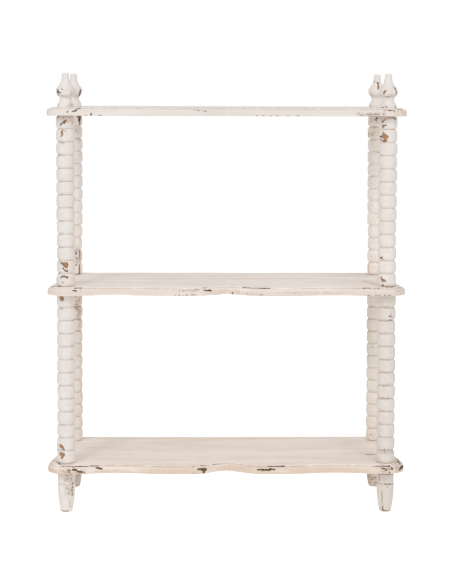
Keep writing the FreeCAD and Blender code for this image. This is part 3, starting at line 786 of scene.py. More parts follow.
class TurnedTree:
    """The Geometry Nodes tree that turns a profile and cuts evenly spaced bead grooves in it."""

    INPUTS = {
        "NodeSocketInt": ("Segments", "Bead Count", "Seed"),
        "NodeSocketFloat": (
            "Height", "Groove Depth", "Bead Shoulder", "Bead Drift", "Unevenness", "Dent Size"
        ),
        "NodeSocketVector": ("Stand At",),
        "NodeSocketMaterial": ("Paint",),
    }
    DENT_DETAIL = 2.0
    WELD = 0.01 * MM

    def __init__(self) -> None:
        """Builds the tree."""
        self.tree = bpy.data.node_groups.new("turned_piece", "GeometryNodeTree")
        face = self.tree.interface
        face.new_socket("Geometry", in_out="INPUT", socket_type="NodeSocketGeometry")
        for kind, names in self.INPUTS.items():
            for name in names:
                face.new_socket(name, in_out="INPUT", socket_type=kind)
        face.new_socket("Geometry", in_out="OUTPUT", socket_type="NodeSocketGeometry")
        self.sheet = NodeSheet(self.tree)
        self.build()

    def build(self) -> None:
        """Wires the tree from the profile to the painted piece."""
        s = self.sheet
        given = {socket.name: Signal(s, socket) for socket in s.add("NodeGroupInput").outputs}
        profile = given["Geometry"]
        rows = s.read("GeometryNodeAttributeDomainSize", profile, output="Point Count")
        grid = s.read("GeometryNodeMeshGrid", 1.0, 1.0, given["Segments"] + 1.0, rows, output="Mesh")
        place = s.read("GeometryNodeInputPosition")
        across, along, _ = s.split(place)
        angle = (across + 0.5) * FULL_TURN
        row = s.math("ROUND", (along + 0.5) * (rows - 1.0))
        point = s.read(
            "GeometryNodeSampleIndex",
            data_type="FLOAT_VECTOR",
            domain="POINT",
            Geometry=profile,
            Value=place,
            Index=row,
        )
        radius, flag, height = s.split(point)
        outside = s.math("GREATER_THAN", flag, 0.5)

        pitch = given["Height"] / s.math("MAXIMUM", given["Bead Count"], 1.0)
        beads_below = height / pitch
        part = s.math("FRACT", beads_below)
        from_groove = s.math("MINIMUM", part, 1.0 - part) * pitch
        fall = (1.0 - from_groove / given["Bead Shoulder"]).clamped()
        bulge = s.math("SQRT", 1.0 - fall * fall)
        grooved = radius - (1.0 - bulge) * given["Groove Depth"] * outside

        drift = s.read(
            "FunctionNodeRandomValue",
            data_type="FLOAT_VECTOR",
            ID=s.math("FLOOR", beads_below),
            Seed=given["Seed"],
            Min=(-1.0, -1.0, 0.0),
            Max=(1.0, 1.0, 0.0),
        )
        moved = s.vector("SCALE", drift, bulge * given["Bead Drift"] * outside)
        even = self.around(angle, grooved, height)
        dents = s.noise(
            even, 1.0 / given["Dent Size"], self.DENT_DETAIL, noise_dimensions="4D", W=given["Seed"]
        )
        turned = self.around(angle, grooved + (dents - 0.5) * given["Unevenness"] * outside, height)
        standing = s.vector("ADD", s.vector("ADD", turned, moved), given["Stand At"])

        has_beads = s.math("GREATER_THAN", given["Bead Count"], 1.0)
        nowhere = (1.0 - outside * has_beads) * FAR
        seam = s.math("MAXIMUM", from_groove / MM, nowhere)
        point_values = {"data_type": "FLOAT", "domain": "POINT"}
        kept = s.read("GeometryNodeStoreNamedAttribute", grid, Name="seam", Value=seam, **point_values)
        shaped = s.read("GeometryNodeSetPosition", kept, Position=standing)
        welded = s.read("GeometryNodeMergeByDistance", shaped, Distance=self.WELD)
        smooth = s.read("GeometryNodeSetShadeSmooth", welded)
        real = s.read("GeometryNodeRealizeInstances", smooth)
        s.add("NodeGroupOutput", s.read("GeometryNodeSetMaterial", real, Material=given["Paint"]))

    def around(self, angle: Signal, radius: Signal, height: Signal) -> Signal:
        """A place at an angle, a radius and a height about the upright axis."""
        s = self.sheet
        across, along = s.math("COSINE", angle) * radius, s.math("SINE", angle) * radius
        return s.read("ShaderNodeCombineXYZ", across, along, height)

    def turn(self, name: str, profile: Sequence[Place], sizes: dict[str, object]) -> bpy.types.Object:
        """Turns one profile.

        Args:
            name: The finished object's name.
            profile: Rows of radius, outside flag and height, from the axis at the foot to the axis above.
            sizes: The tree's inputs by name.

        Returns:
            An object with a plain mesh and no modifier.
        """
        outline = bpy.data.meshes.new(name + "_profile")
        outline.from_pydata(profile, [], [])
        blank = show(name + "_blank", outline)
        modifier = blank.modifiers.new("turn", "NODES")
        modifier.node_group = self.tree
        for item in self.tree.interface.items_tree:
            if item.name in sizes:
                modifier[item.identifier] = sizes[item.name]
        graph = bpy.context.evaluated_depsgraph_get()
        mesh = bpy.data.meshes.new_from_object(blank.evaluated_get(graph))
        bpy.data.objects.remove(blank)
        bpy.data.meshes.remove(outline)
        mesh.name = name
        return show(name, mesh)


# Wear on a mesh


# Large numbers that scatter the values of neighbouring lattice points and of neighbouring seeds

LATTICE_FACTORS = np.array((73856093, 19349663, 83492791))
SEED_FACTOR = 982451653
MIXING = ((13, 1274126177), (16, 668265263))
KEPT_BITS = 0xFFFFFFFF
VALUE_BITS = 0xFFFF


def lattice_noise(points: np.ndarray, cell: float, seed: int) -> np.ndarray:
    """Smooth random values from -1 to 1.

    Args:
        points: One row of x, y and z for each value.
        cell: The distance between independent values, in the points' unit.
        seed: Changes the pattern.

    Returns:
        One value for each point.
    """
    scaled = points / cell
    base = np.floor(scaled).astype(np.int64)
    part = smooth_step(scaled - base, 0, 1)
    total = np.zeros(len(points))
    for step in itertools.product((0, 1), repeat=3):
        mixed = (base + np.array(step)) @ LATTICE_FACTORS + seed * SEED_FACTOR
        for shift, factor in MIXING:
            mixed = ((mixed ^ (mixed >> shift)) * factor) & KEPT_BITS
        value = (mixed & VALUE_BITS) / (VALUE_BITS // 2) - 1
        total += value * np.prod(np.where(step, part, 1 - part), axis=1)
    return total


def lattice_shift(points: np.ndarray, cell: float, seed: int) -> np.ndarray:
    """A smooth random shift for each point, up to about 1 along each axis."""
    return np.stack([lattice_noise(points, cell, seed + axis) for axis in range(3)], axis=1)


def smooth_step(values: np.ndarray, low: float, high: float) -> np.ndarray:
    """Fades smoothly from 0 at the low value to 1 at the high one."""
    part = np.clip((values - low) / (high - low), 0, 1)
    return part * part * (3 - 2 * part)


def distance_to_stroke(points: np.ndarray, stroke: np.ndarray) -> np.ndarray:
    """The distance from each point to a line through the stroke's points, or to its only point."""
    nearest = np.linalg.norm(points - stroke[0], axis=1)
    for start, end in itertools.pairwise(stroke):
        way = end - start
        share = np.clip((points - start) @ way / max(way @ way, TINY), 0, 1)
        nearest = np.minimum(nearest, np.linalg.norm(points - start - share[:, None] * way, axis=1))
    return nearest


@dataclass(frozen=True)
class Weathering:
    """How strokes become numbers and hollows on a mesh. Lengths are in millimetres."""

    ragged: float = 1.1
    ragged_cell: float = 3.4
    fine_ragged: float = 0.5
    fine_cell: float = 1.3
    nibble_share: float = 0.45
    nibble_cell: float = 2.3
    crack_limit: float = 0.22
    chip_depth: float = 0.45
    chip_slope: float = 0.5
    planing_cell: float = 45.0
    soft_ragged_share: float = 2.0
    soft_core_share: float = 0.2
    soft_reach_share: float = 1.5
    stray_kinds: tuple[Wear, ...] = (Wear.CHIP, Wear.CHIP, Wear.CRACK, Wear.STAIN)
    stray_reach: Pair = (3.0, 11.0)
    stray_width: Pair = (1.4, 4.2)
    stray_bend_share: float = 0.3
    seen_from: Place = (0.0, -1.0, 0.0)
    hidden_facing: float = -0.25

    WIDTH_SHARES = {Wear.CHIP: 1, Wear.CRACK: 0.5, Wear.STAIN: 2.5}
    SEED_STEPS = {"fine": 7, "planing": 20, "nibble": 31}

    def stray_strokes(self, points: np.ndarray, normals: np.ndarray, count: int, seed: int) -> list[Stroke]:
        """Makes up wear for the side that faces away from the picture.

        Args:
            points: The mesh's vertices, in the piece's own place.
            normals: Their outward directions.
            count: How many marks to make.
            seed: Picks the places.

        Returns:
            The strokes, most of them chips.
        """
        chance = np.random.default_rng(seed)
        hidden = np.flatnonzero(normals @ np.array(self.seen_from) < self.hidden_facing)
        strokes = []
        for index in chance.choice(hidden, size=min(count, len(hidden)), replace=False):
            wear = chance.choice(self.stray_kinds)
            width = chance.uniform(*self.stray_width) * self.WIDTH_SHARES[wear]
            way = np.cross(normals[index], chance.normal(size=3))
            reach = chance.uniform(*self.stray_reach) * way / np.linalg.norm(way)
            bend = self.stray_bend_share * np.cross(normals[index], reach) * chance.uniform(-1, 1)
            line = points[index] + np.array((-reach / 2, bend, reach / 2))
            strokes.append(Stroke(wear, float(width), line))
        return strokes

    def apply(
        self,
        mesh: bpy.types.Mesh,
        base: Vector,
        strokes: Sequence[Stroke],
        strays: int,
        seed: int,
        planing: float = 0.0,
    ) -> None:
        """Writes the wear onto a mesh and sinks the bare wood a little.

        Args:
            mesh: The mesh, with its vertices where they stand.
            base: The middle of the piece's lowest face, in metres.
            strokes: The wear, and the few strokes of painted shade, that the picture shows.
            strays: How many more strokes the far side gets.
            seed: Changes the ragged edges and the far side.
            planing: How deep the broad hollows left by hand work are.
        """
        places = read_rows(mesh.vertices, "co")
        outward = read_rows(mesh.vertex_normals, "vector")
        points = (places - np.array(base)) / MM
        every = [*strokes, *self.stray_strokes(points, outward, strays, seed)]
        shift = self.ragged * lattice_shift(points, self.ragged_cell, seed)
        fine = self.fine_ragged * lattice_shift(points, self.fine_cell, seed + self.SEED_STEPS["fine"])
        shaken = points + shift + fine
        bites = self.nibble_share * lattice_noise(points, self.nibble_cell, seed + self.SEED_STEPS["nibble"])
        bare = np.full(len(points), -FAR)
        soft = {Wear.STAIN: np.zeros(len(points)), Wear.CRACKLE: np.zeros(len(points))}
        blurred = points + self.soft_ragged_share * shift
        for stroke in every:
            half = stroke.width / 2
            if stroke.wear in soft:
                apart = distance_to_stroke(blurred, stroke.points)
                faded = smooth_step(apart, self.soft_core_share * half, self.soft_reach_share * half)
                soft[stroke.wear] = np.maximum(soft[stroke.wear], 1 - faded)
            elif stroke.wear is Wear.CHIP:
                bare = np.maximum(bare, half * (1 + bites) - distance_to_stroke(shaken, stroke.points))
            else:
                thin = half * (1 + bites) - distance_to_stroke((points + shaken) / 2, stroke.points)
                bare = np.maximum(bare, np.minimum(thin, self.crack_limit))
        hollows = (1 + lattice_noise(points, self.planing_cell, seed + self.SEED_STEPS["planing"])) / 2
        sunk = self.chip_depth * smooth_step(bare, 0, self.chip_slope) + planing * hollows
        places -= outward * (sunk * MM)[:, None]
        mesh.vertices.foreach_set("co", places.ravel())
        mesh.update()
        write_values(mesh, "bare", bare)
        write_values(mesh, "stain", soft[Wear.STAIN])
        write_values(mesh, "crackle", soft[Wear.CRACKLE])


# Finishes


def shade(red: int, green: int, blue: int) -> Colour:
    """A colour as seen on a screen, from 0 to 255, made linear for the shaders."""
    seen = Color([part / 255 for part in (red, green, blue)])
    return (*seen.from_srgb_to_scene_linear(), 1.0)


def start_material(name: str) -> tuple[bpy.types.Material, NodeSheet]:
    """A new material and its empty node tree."""
    made = bpy.data.materials.new(name)
    made.use_nodes = True
    return made, NodeSheet(made.node_tree)


@dataclass(frozen=True)
class PaintPatterns:
    """The patterns that every paint shares.

    A pattern is its scale per metre and its detail. A fade is the value where it starts and the value
    where it ends. Ragged widths and heights are in millimetres.
    """

    cloud: Pair = (11.0, 3.0)
    mottle: Pair = (95.0, 5.0)
    fleck: Pair = (620.0, 3.0)
    dots: Pair = (340.0, 1.0)
    grain: Pair = (1.0, 5.0)
    wood_grain: Pair = (4.0, 4.0)
    net_scale: float = 300.0
    cloud_share: float = 0.55
    tint_fade: Pair = (0.36, 0.64)
    streak_fade: Pair = (0.4, 0.68)
    edge_fade: Pair = (0.55, 1.05)
    stain_and_shade_fade: Pair = (0.25, 0.75)
    seam_fade: Pair = (0.2, 0.65)
    seam_start: float = 0.1
    seam_ragged: float = 0.8
    hair_fade: Pair = (0.04, 0.2)
    hair_gap_fade: Pair = (0.36, 0.6)
    hair_share: float = 0.6
    dot_fade: Pair = (0.6, 0.68)
    crackle_share: float = 0.85
    bare_ragged: float = 1.2
    bare_fade: Pair = (-0.12, 0.12)
    # The ring round each chip and the dark rim inside it are partly painted shade at the paint's lip
    lip_fade: Pair = (-1.0, -0.1)
    lip_share: float = 0.35
    wood_ragged: float = 1.4
    wood_fade: Pair = (0.2, 1.5)
    gloss_spread: float = 0.12
    bare_roughness: float = 0.2
    chip_height: float = 0.12
    hair_height: float = 0.08
    wood_height: float = 0.15


@dataclass(frozen=True)
class PaintFinish:
    """Brushed cream paint over stained wood, with painted shade round chips and on board edges. Lengths are
    in millimetres, and patterns are per metre.
    """

    name: str
    cool: Colour = shade(239, 233, 228)
    warm: Colour = shade(234, 223, 213)
    # Tan of the stains, of the ring round each chip and of the stain strokes that are painted shade
    stain_and_shade_tone: Colour = shade(205, 176, 146)
    # Warm, darker tone of the board edges: partly stain, partly painted shade
    edge_stain_and_shade: Colour = shade(238, 213, 186)
    seam_dirt: Colour = shade(176, 146, 120)
    # Darkest wood: painted shadow under the paint's lip at the rim of each chip, and the dark wood of cracks
    dark_wood_and_rim_shade: Colour = shade(88, 64, 48)
    wood_mid: Colour = shade(176, 132, 96)
    dot_colour: Colour = shade(120, 100, 84)
    grain_scale: Place = (120.0, 120.0, 9.0)
    warm_share: float = 0.4
    grain_share: float = 0.25
    stain_and_shade_share: float = 0.75
    dot_share: float = 0.0
    edge_stain_and_shade_share: float = 0.0
    seam_width: float = 0.7
    seam_share: float = 0.12
    roughness: float = 0.58
    specular: float = 0.3
    brush_height: float = 0.05
    grain_height: float = 0.05
    patterns: PaintPatterns = PaintPatterns()

    def material(self) -> bpy.types.Material:
        """Builds the shader."""
        made, s = start_material(self.name)
        p = self.patterns
        coords = s.read("ShaderNodeTexCoord", output="Object")
        stretched = s.read("ShaderNodeMapping", coords, Scale=self.grain_scale)
        cloud, mottle, fleck = (s.noise(coords, *pattern) for pattern in (p.cloud, p.mottle, p.fleck))
        grain, wood_grain = (s.noise(stretched, *pattern) for pattern in (p.grain, p.wood_grain))

        tint = s.ramp(cloud * p.cloud_share + mottle * (1 - p.cloud_share), *p.tint_fade) * self.warm_share
        streak = s.ramp(grain, *p.streak_fade) * self.grain_share
        paint = s.mix((tint + streak).clamped(), self.cool, self.warm)
        # Darker warm tone on the board edges, full on the upright face and fading up the roundover: partly
        # stain, partly painted shade
        edge = s.value("edge") * self.edge_stain_and_shade_share * s.ramp(cloud + grain, *p.edge_fade)
        paint = s.mix(edge, paint, self.edge_stain_and_shade)
        # Tan patches from the stain strokes: stains, and in a few places painted shade
        stain = (s.value("stain") * s.ramp(mottle, *p.stain_and_shade_fade)).clamped() * self.stain_and_shade_share
        paint = s.mix(stain, paint, self.stain_and_shade_tone)

        seam = 1.0 - s.ramp(s.value("seam") + (fleck - 0.5) * p.seam_ragged, p.seam_start, self.seam_width)
        paint = s.mix(seam * s.ramp(mottle, *p.seam_fade) * self.seam_share, paint, self.seam_dirt)

        cells = {"feature": "DISTANCE_TO_EDGE", "Vector": coords, "Scale": p.net_scale}
        net = s.read("ShaderNodeTexVoronoi", output="Distance", **cells)
        hair = (1.0 - s.ramp(net, *p.hair_fade)) * s.ramp(mottle, *p.hair_gap_fade)
        dots = s.ramp(s.noise(coords, *p.dots), *p.dot_fade)
        crazed = (s.value("crackle") + self.dot_share).clamped()
        hair = s.math("MAXIMUM", hair * p.hair_share, dots) * crazed
        paint = s.mix(hair * p.crackle_share, paint, self.dot_colour)

        bare = s.value("bare") + (fleck - 0.5) * p.bare_ragged
        open_wood = s.ramp(bare, *p.bare_fade)
        # A tan ring on the paint round each chip: dirt at the paint's edge with painted shade
        paint = s.mix(s.ramp(bare, *p.lip_fade) * p.lip_share, paint, self.stain_and_shade_tone)
        # Inside a chip the wood is darkest at its rim, as painted shadow under the paint's lip, and lighter
        # further in
        depth = s.ramp(bare + (wood_grain - 0.5) * p.wood_ragged, *p.wood_fade)
        colour = s.mix(open_wood, paint, s.mix(depth, self.dark_wood_and_rim_shade, self.wood_mid))

        gloss = mottle * p.gloss_spread + (self.roughness - p.gloss_spread / 2)
        height = mottle * self.brush_height + grain * self.grain_height - open_wood * p.chip_height
        height = height - hair * p.hair_height + wood_grain * open_wood * p.wood_height
        roughness = (gloss + open_wood * p.bare_roughness).clamped()
        s.surface(colour, roughness, height, Specular_IOR_Level=self.specular)
        return made


@dataclass(frozen=True)
class MetalFinish:
    """Turned metal with a thread's ridges round it. The thread's height is in millimetres."""

    name: str
    bright: Colour
    dull: Colour
    cloud: Pair = (160.0, 4.0)
    dull_fade: Pair = (0.35, 0.7)
    roughness: float = 0.35
    roughness_spread: float = 0.2
    threads_per_metre: float = 800.0
    thread_height: float = 0.25

    def material(self) -> bpy.types.Material:
        """Builds the shader."""
        made, s = start_material(self.name)
        coords = s.read("ShaderNodeTexCoord", output="Object")
        cloud = s.noise(coords, *self.cloud)
        colour = s.mix(s.ramp(cloud, *self.dull_fade), self.bright, self.dull)
        roughness = cloud * self.roughness_spread + (self.roughness - self.roughness_spread / 2)
        ridge = s.math("SINE", s.split(coords)[2] * (self.threads_per_metre * FULL_TURN))
        s.surface(colour, roughness, ridge * self.thread_height, Metallic=1.0)
        return made


# Turned pieces


@dataclass(frozen=True)
class Bores:
    """The bores that hide the fastenings. Lengths are in millimetres."""

    bolt_radius: float = 4.15
    bolt_depth: float = 33.0
    point_radius: float = 4.5
    point_depth: float = 15.0
    insert_radius: float = 6.15
    insert_depth: float = 13.0
    flange_radius: float = 7.65
    flange_depth: float = 1.2


class Profile:
    """Rows of radius, outside flag and height in metres, walked from the axis below to the axis above."""

    FEWEST_ARC_ROWS = 3

    def __init__(self, step: float) -> None:
        """Keeps the distance between rows of the outside, in millimetres."""
        self.step = step
        self.rows: list[Place] = []
        self.at = (0.0, 0.0)

    def inner(self, radius: float, height: float) -> None:
        """A single row, out of sight inside a bore or across an end."""
        self.at = (radius, height)
        self.rows.append((radius * MM, 0.0, height * MM))

    def outer(self, radius: float, height: float) -> None:
        """A single row of the outside."""
        self.at = (radius, height)
        self.rows.append((radius * MM, 1.0, height * MM))

    def line(self, radius: float, height: float) -> None:
        """A straight run of the outside."""
        start = np.array(self.at)
        way = np.array((radius, height)) - start
        count = max(1, round(float(np.linalg.norm(way)) / self.step))
        for share in np.linspace(0, 1, count + 1)[1:]:
            self.outer(*(start + share * way))
        self.at = (radius, height)

    def arc(self, radius: float, height: float, upright_at_end: bool) -> None:
        """A run that is upright at one of its ends."""
        start, end = self.at, (radius, height)
        upright, other = (end, start) if upright_at_end else (start, end)
        across, rise = upright[0] - other[0], upright[1] - other[1]
        bend = (across * across + rise * rise) / (2 * across)
        centre = (upright[0] - bend, upright[1])
        angles = [math.atan2(place[1] - centre[1], place[0] - centre[0]) for place in (start, end)]
        sweep = math.remainder(angles[1] - angles[0], FULL_TURN)
        count = max(self.FEWEST_ARC_ROWS, round(abs(bend * sweep) / self.step))
        for share in np.linspace(0, 1, count + 1)[1:]:
            angle = angles[0] + share * sweep
            self.outer(centre[0] + abs(bend) * math.cos(angle), centre[1] + abs(bend) * math.sin(angle))
        self.at = end

    def ogee(self, radius: float, height: float, share: float) -> None:
        """Two runs in an S, upright at both ends and meeting at a share of the way."""
        across, rise = radius - self.at[0], height - self.at[1]
        self.arc(self.at[0] + across * share, self.at[1] + rise * share, upright_at_end=False)
        self.arc(radius, height, upright_at_end=True)

    def insert_bore(self, bores: Bores) -> None:
        """The stepped bore for a threaded insert, from the axis down to the lower end."""
        self.inner(0.0, bores.point_depth)
        for radius, upper, lower in (
            (bores.point_radius, bores.point_depth, bores.insert_depth),
            (bores.insert_radius, bores.insert_depth, bores.flange_depth),
            (bores.flange_radius, bores.flange_depth, 0.0),
        ):
            self.inner(radius, upper)
            self.inner(radius, lower)

    def bolt_bore(self, bores: Bores, top: float) -> None:
        """The blind bore for a bolt, from the upper end down to the axis."""
        self.inner(bores.bolt_radius, top)
        self.inner(bores.bolt_radius, top - bores.bolt_depth)
        self.inner(0.0, top - bores.bolt_depth)


@dataclass
class TurnedPiece:
    """One turned piece of a corner. Lengths are in millimetres, and a plain piece has no beads."""

    node: str
    slot: str
    paint: bpy.types.Material
    seed: int
    strays: int = 8
    segments: int = 128
    unevenness: float = 1.0
    dent_size: float = 22.0
    bead_count: int = 0
    groove_depth: float = 0.0
    bead_shoulder: float = 1.0
    bead_drift: float = 0.0
    bores: Bores = Bores()

    def profile(self, radius: float, height: float) -> Profile:
        """The piece's outline as it is turned."""
        raise NotImplementedError

    def ring_heights(self, height: float) -> tuple[float, ...]:
        """Where single ring grooves hold dirt."""
        return ()

    def build(self, tree: TurnedTree, weathering: Weathering, tracing: Tracing) -> bpy.types.Object:
        """Turns, wears and places the piece.

        Args:
            tree: The tree that turns a profile.
            weathering: How strokes change the surface.
            tracing: Lays the picture's marks on the piece.

        Returns:
            The finished object, riding on its body.
        """
        base, (width, _, height) = base_and_size(self.node)
        sizes = {
            "Height": height,
            "Groove Depth": self.groove_depth,
            "Bead Shoulder": self.bead_shoulder,
            "Bead Drift": self.bead_drift,
            "Unevenness": self.unevenness,
            "Dent Size": self.dent_size,
        }
        settings = {name: length * MM for name, length in sizes.items()}
        settings |= {"Segments": self.segments, "Bead Count": self.bead_count, "Seed": self.seed}
        settings |= {"Stand At": base, "Paint": self.paint}
        piece = tree.turn("painted_" + self.node, self.profile(width / 2, height).rows, settings)
        mark_ring_seams(piece.data, base, self.ring_heights(height))
        strokes = tracing.strokes(self.node, piece.data, base)
        weathering.apply(piece.data, base, strokes, self.strays, self.seed)
        return settle(piece, self.node)


def mark_ring_seams(mesh: bpy.types.Mesh, base: Vector, heights: Iterable[float]) -> None:
    """Keeps the distance to the nearest ring groove where the tree has kept none."""
    rises = (read_rows(mesh.vertices, "co")[:, 2] - base.z) / MM
    seam = np.empty(len(rises), dtype=np.float32)
    mesh.attributes["seam"].data.foreach_get("value", seam)
    for height in heights:
        seam = np.minimum(seam, np.abs(rises - height))
    write_values(mesh, "seam", seam)


@dataclass
class BobbinPost(TurnedPiece):
    """A post of rounded beads with a bore at each end."""

    strays: int = 16
    unevenness: float = 1.8
    bead_count: int = 13
    groove_depth: float = 4.8
    bead_shoulder: float = 9.5
    bead_drift: float = 0.45
    rows_per_bead: int = 20

    def profile(self, radius: float, height: float) -> Profile:
        """A plain rod between its two bores."""
        walk = Profile(height / self.bead_count / self.rows_per_bead)
        walk.insert_bore(self.bores)
        walk.outer(radius, 0.0)
        walk.line(radius, height)
        walk.bolt_bore(self.bores, height)
        return walk


@dataclass
class Foot(TurnedPiece):
    """A tapered foot with a collar over a ring groove."""

    collar_radius: float = 19.3
    collar_height: float = 27.0
    ring_depth: float = 2.2
    ring_height: float = 3.5
    ankle: Pair = (14.0, 5.0)
    sole_radius: float = 9.5
    shoulder: float = 1.5
    row_step: float = 1.3

    def profile(self, radius: float, height: float) -> Profile:
        """The outside from the sole to the collar, then the bolt's bore."""
        collar = height - self.collar_height
        ring = collar - self.ring_height / 2
        walk = Profile(self.row_step)
        walk.inner(0.0, 0.0)
        walk.inner(self.sole_radius, 0.0)
        walk.arc(*self.ankle, upright_at_end=True)
        walk.arc(radius, ring - self.ring_height / 2, upright_at_end=True)
        walk.line(self.collar_radius - self.ring_depth, ring)
        walk.line(self.collar_radius, collar)
        walk.line(self.collar_radius, height - self.shoulder)
        walk.line(self.collar_radius - self.shoulder, height)
        walk.bolt_bore(self.bores, height)
        return walk

    def ring_heights(self, height: float) -> tuple[float, ...]:
        """The groove under the collar."""
        return (height - self.collar_height - self.ring_height / 2,)


@dataclass
class Finial(TurnedPiece):
    """A finial with a flared base, a neck, a round belly and a tapering throat."""

    base: Pair = (18.5, 2.0)
    neck: Pair = (12.5, 18.5)
    belly_height: float = 36.5
    throat: Pair = (7.9, 69.0)
    tip_radius: float = 7.2
    tip_round: float = 2.0
    base_share: float = 0.5
    belly_share: float = 0.35
    taper_share: float = 0.27
    row_step: float = 1.15

    def profile(self, radius: float, height: float) -> Profile:
        """The insert's bore, then the outside up to the rounded tip."""
        walk = Profile(self.row_step)
        walk.insert_bore(self.bores)
        walk.inner(self.base[0], 0.0)
        walk.line(*self.base)
        walk.ogee(*self.neck, self.base_share)
        walk.ogee(radius, self.belly_height, self.belly_share)
        walk.ogee(*self.throat, self.taper_share)
        walk.line(self.tip_radius, height - self.tip_round)
        walk.arc(self.tip_radius - self.tip_round, height, upright_at_end=False)
        walk.inner(0.0, height)
        return walk


# Boards


@dataclass(frozen=True)
class Bend:
    """An arc of the board's outline, bulging or hollow. Lengths are in millimetres."""

    centre: Pair
    radius: float
    hollow: bool = False

    FEWEST_ROWS = 4

    def towards(self, other: "Bend") -> Pair:
        """Where this arc touches the next one."""
        way = np.array(other.centre) - np.array(self.centre)
        return tuple(np.array(self.centre) + self.radius * (way / np.linalg.norm(way)))

    def walk(self, start: Sequence[float], end: Sequence[float], spacing: float) -> np.ndarray:
        """Rows of x, y and the outward direction from one point of the arc up to another."""
        centre = np.array(self.centre)
        angles = [math.atan2(*(np.array(place) - centre)[::-1]) for place in (start, end)]
        sweep = math.remainder(angles[1] - angles[0], FULL_TURN)
        count = max(self.FEWEST_ROWS, math.ceil(abs(self.radius * sweep) / spacing))
        turns = angles[0] + np.arange(count) / count * sweep
        ways = np.column_stack((np.cos(turns), np.sin(turns)))
        return np.column_stack((centre + self.radius * ways, -ways if self.hollow else ways))


def straight(start: Sequence[float], end: Sequence[float], spacing: float) -> np.ndarray:
    """Rows of x, y and the outward direction along a straight run of the outline."""
    start, way = np.array(start), np.array(end) - np.array(start)
    length = float(np.linalg.norm(way))
    count = max(2, math.ceil(length / spacing))
    outward = (way[1] / length, -way[0] / length)
    return np.array([(*(start + share * way), *outward) for share in np.arange(count) / count])


@dataclass(frozen=True)
class ScallopedOutline:
    """The outline that the three boards share, notched in front. Lengths are in millimetres."""

    length: float = 800.0
    depth: float = 300.0
    post_overhang: float = 41.5
    notch_depth: float = 31.5
    notch_round: float = 8.0
    dip_depth: float = 11.5
    waist_depth: float = 12.0
    swell_start_share: float = 0.223
    swell_end_share: float = 0.349
    swell_round_share: float = 0.68
    dip_round_share: float = 0.45
    waist_round_share: float = 0.5
    spacing: float = 1.65

    def post_place(self) -> Pair:
        """The middle of a post, to the right and behind."""
        return self.length / 2 - self.post_overhang, self.depth / 2 - self.post_overhang

    def chain(self, start: Sequence[float], *runs: tuple[Bend | None, Sequence[float]]) -> np.ndarray:
        """Rows along arcs, and straight runs where there is no arc, each up to its own end."""
        parts = []
        for bend, end in runs:
            parts.append(bend.walk(start, end, self.spacing) if bend else straight(start, end, self.spacing))
            start = end
        return np.concatenate(parts)

    def right_half(self) -> np.ndarray:
        """Rows from the middle of the notch anticlockwise to the middle of the rear edge."""
        post_x, post_y = self.post_place()
        front, end = -self.depth / 2, self.length / 2
        swell_x, wave_x = post_x * self.swell_start_share, post_x * self.swell_end_share
        dip_x = (wave_x + post_x) / 2
        widest = swell_x**2 / (2 * self.notch_depth) + self.notch_depth / 2 - self.notch_round
        swell_radius = widest * self.swell_round_share
        dip_radius, lobe_radius = self.wave_radii(dip_x - wave_x, self.dip_depth, self.dip_round_share)
        waist_radius, flare_radius = self.wave_radii(post_y, self.waist_depth, self.waist_round_share)
        notch = Bend((0.0, front + self.notch_depth - self.notch_round), self.notch_round, hollow=True)
        swell = Bend((swell_x, front + swell_radius), swell_radius)
        wave = Bend((wave_x, front + lobe_radius), lobe_radius)
        dip = Bend((dip_x, front + self.dip_depth - dip_radius), dip_radius, hollow=True)
        lobe = Bend((post_x, front + lobe_radius), lobe_radius)
        corner = Bend((post_x, -post_y), self.post_overhang)
        flare = Bend((end - flare_radius, -post_y), flare_radius)
        waist = Bend((end - self.waist_depth + waist_radius, 0.0), waist_radius, hollow=True)

        reach = np.array(swell.centre) - np.array(notch.centre)
        opening = math.asin((notch.radius + swell.radius) / float(np.linalg.norm(reach)))
        slope = math.atan2(reach[1], reach[0]) - opening
        lean = np.array((-math.sin(slope), math.cos(slope)))

        along_front = self.chain(
            (0.0, notch.centre[1] + notch.radius),
            (notch, np.array(notch.centre) + notch.radius * lean),
            (None, np.array(swell.centre) - swell.radius * lean),
            (swell, (swell_x, front)),
            (None, (wave_x, front)),
            (wave, wave.towards(dip)),
            (dip, lobe.towards(dip)),
            (lobe, (post_x, front)),
        )
        middle = (waist.centre[0] - waist.radius, 0.0)
        front_end = self.chain(
            (post_x, front), (corner, (end, -post_y)), (flare, flare.towards(waist)), (waist, middle)
        )
        rear_end = front_end[::-1] * (1, -1, 1, -1)
        rear = straight((post_x, -front), (0.0, -front), self.spacing)[1:]
        return np.concatenate((along_front, front_end, [(*middle, 1.0, 0.0)], rear_end, rear))

    @staticmethod
    def wave_radii(span: float, depth: float, share: float) -> Pair:
        """The hollow and the bulging radius of a wave of the given half span and depth."""
        both = (span**2 + depth**2) / (2 * depth)
        return both * share, both * (1 - share)

    def rows(self) -> np.ndarray:
        """The whole outline, anticlockwise from the notch."""
        right = self.right_half()
        left = right[:0:-1] * (-1, 1, -1, 1)
        return np.concatenate((right, [(0.0, self.depth / 2, 0.0, 1.0)], left))


def inside(places: np.ndarray, loop: np.ndarray) -> np.ndarray:
    """Whether each place lies inside a closed loop."""
    result = np.zeros(len(places), dtype=bool)
    x, y = places[:, 0], places[:, 1]
    for (ax, ay), (bx, by) in zip(loop, np.roll(loop, -1, axis=0)):
        if ay != by:
            crosses = (ay > y) != (by > y)
            result ^= crosses & (x < (bx - ax) * (y - ay) / (by - ay) + ax)
    return result


def lift(places: np.ndarray, height: float) -> np.ndarray:
    """Flat places with one height for all of them."""
    return np.column_stack((places, np.full(len(places), height)))


def after(loop: Sequence[int]) -> Sequence[int]:
    """A closed loop's numbers, each in the place of the one before it."""
    return [*loop[1:], loop[0]]


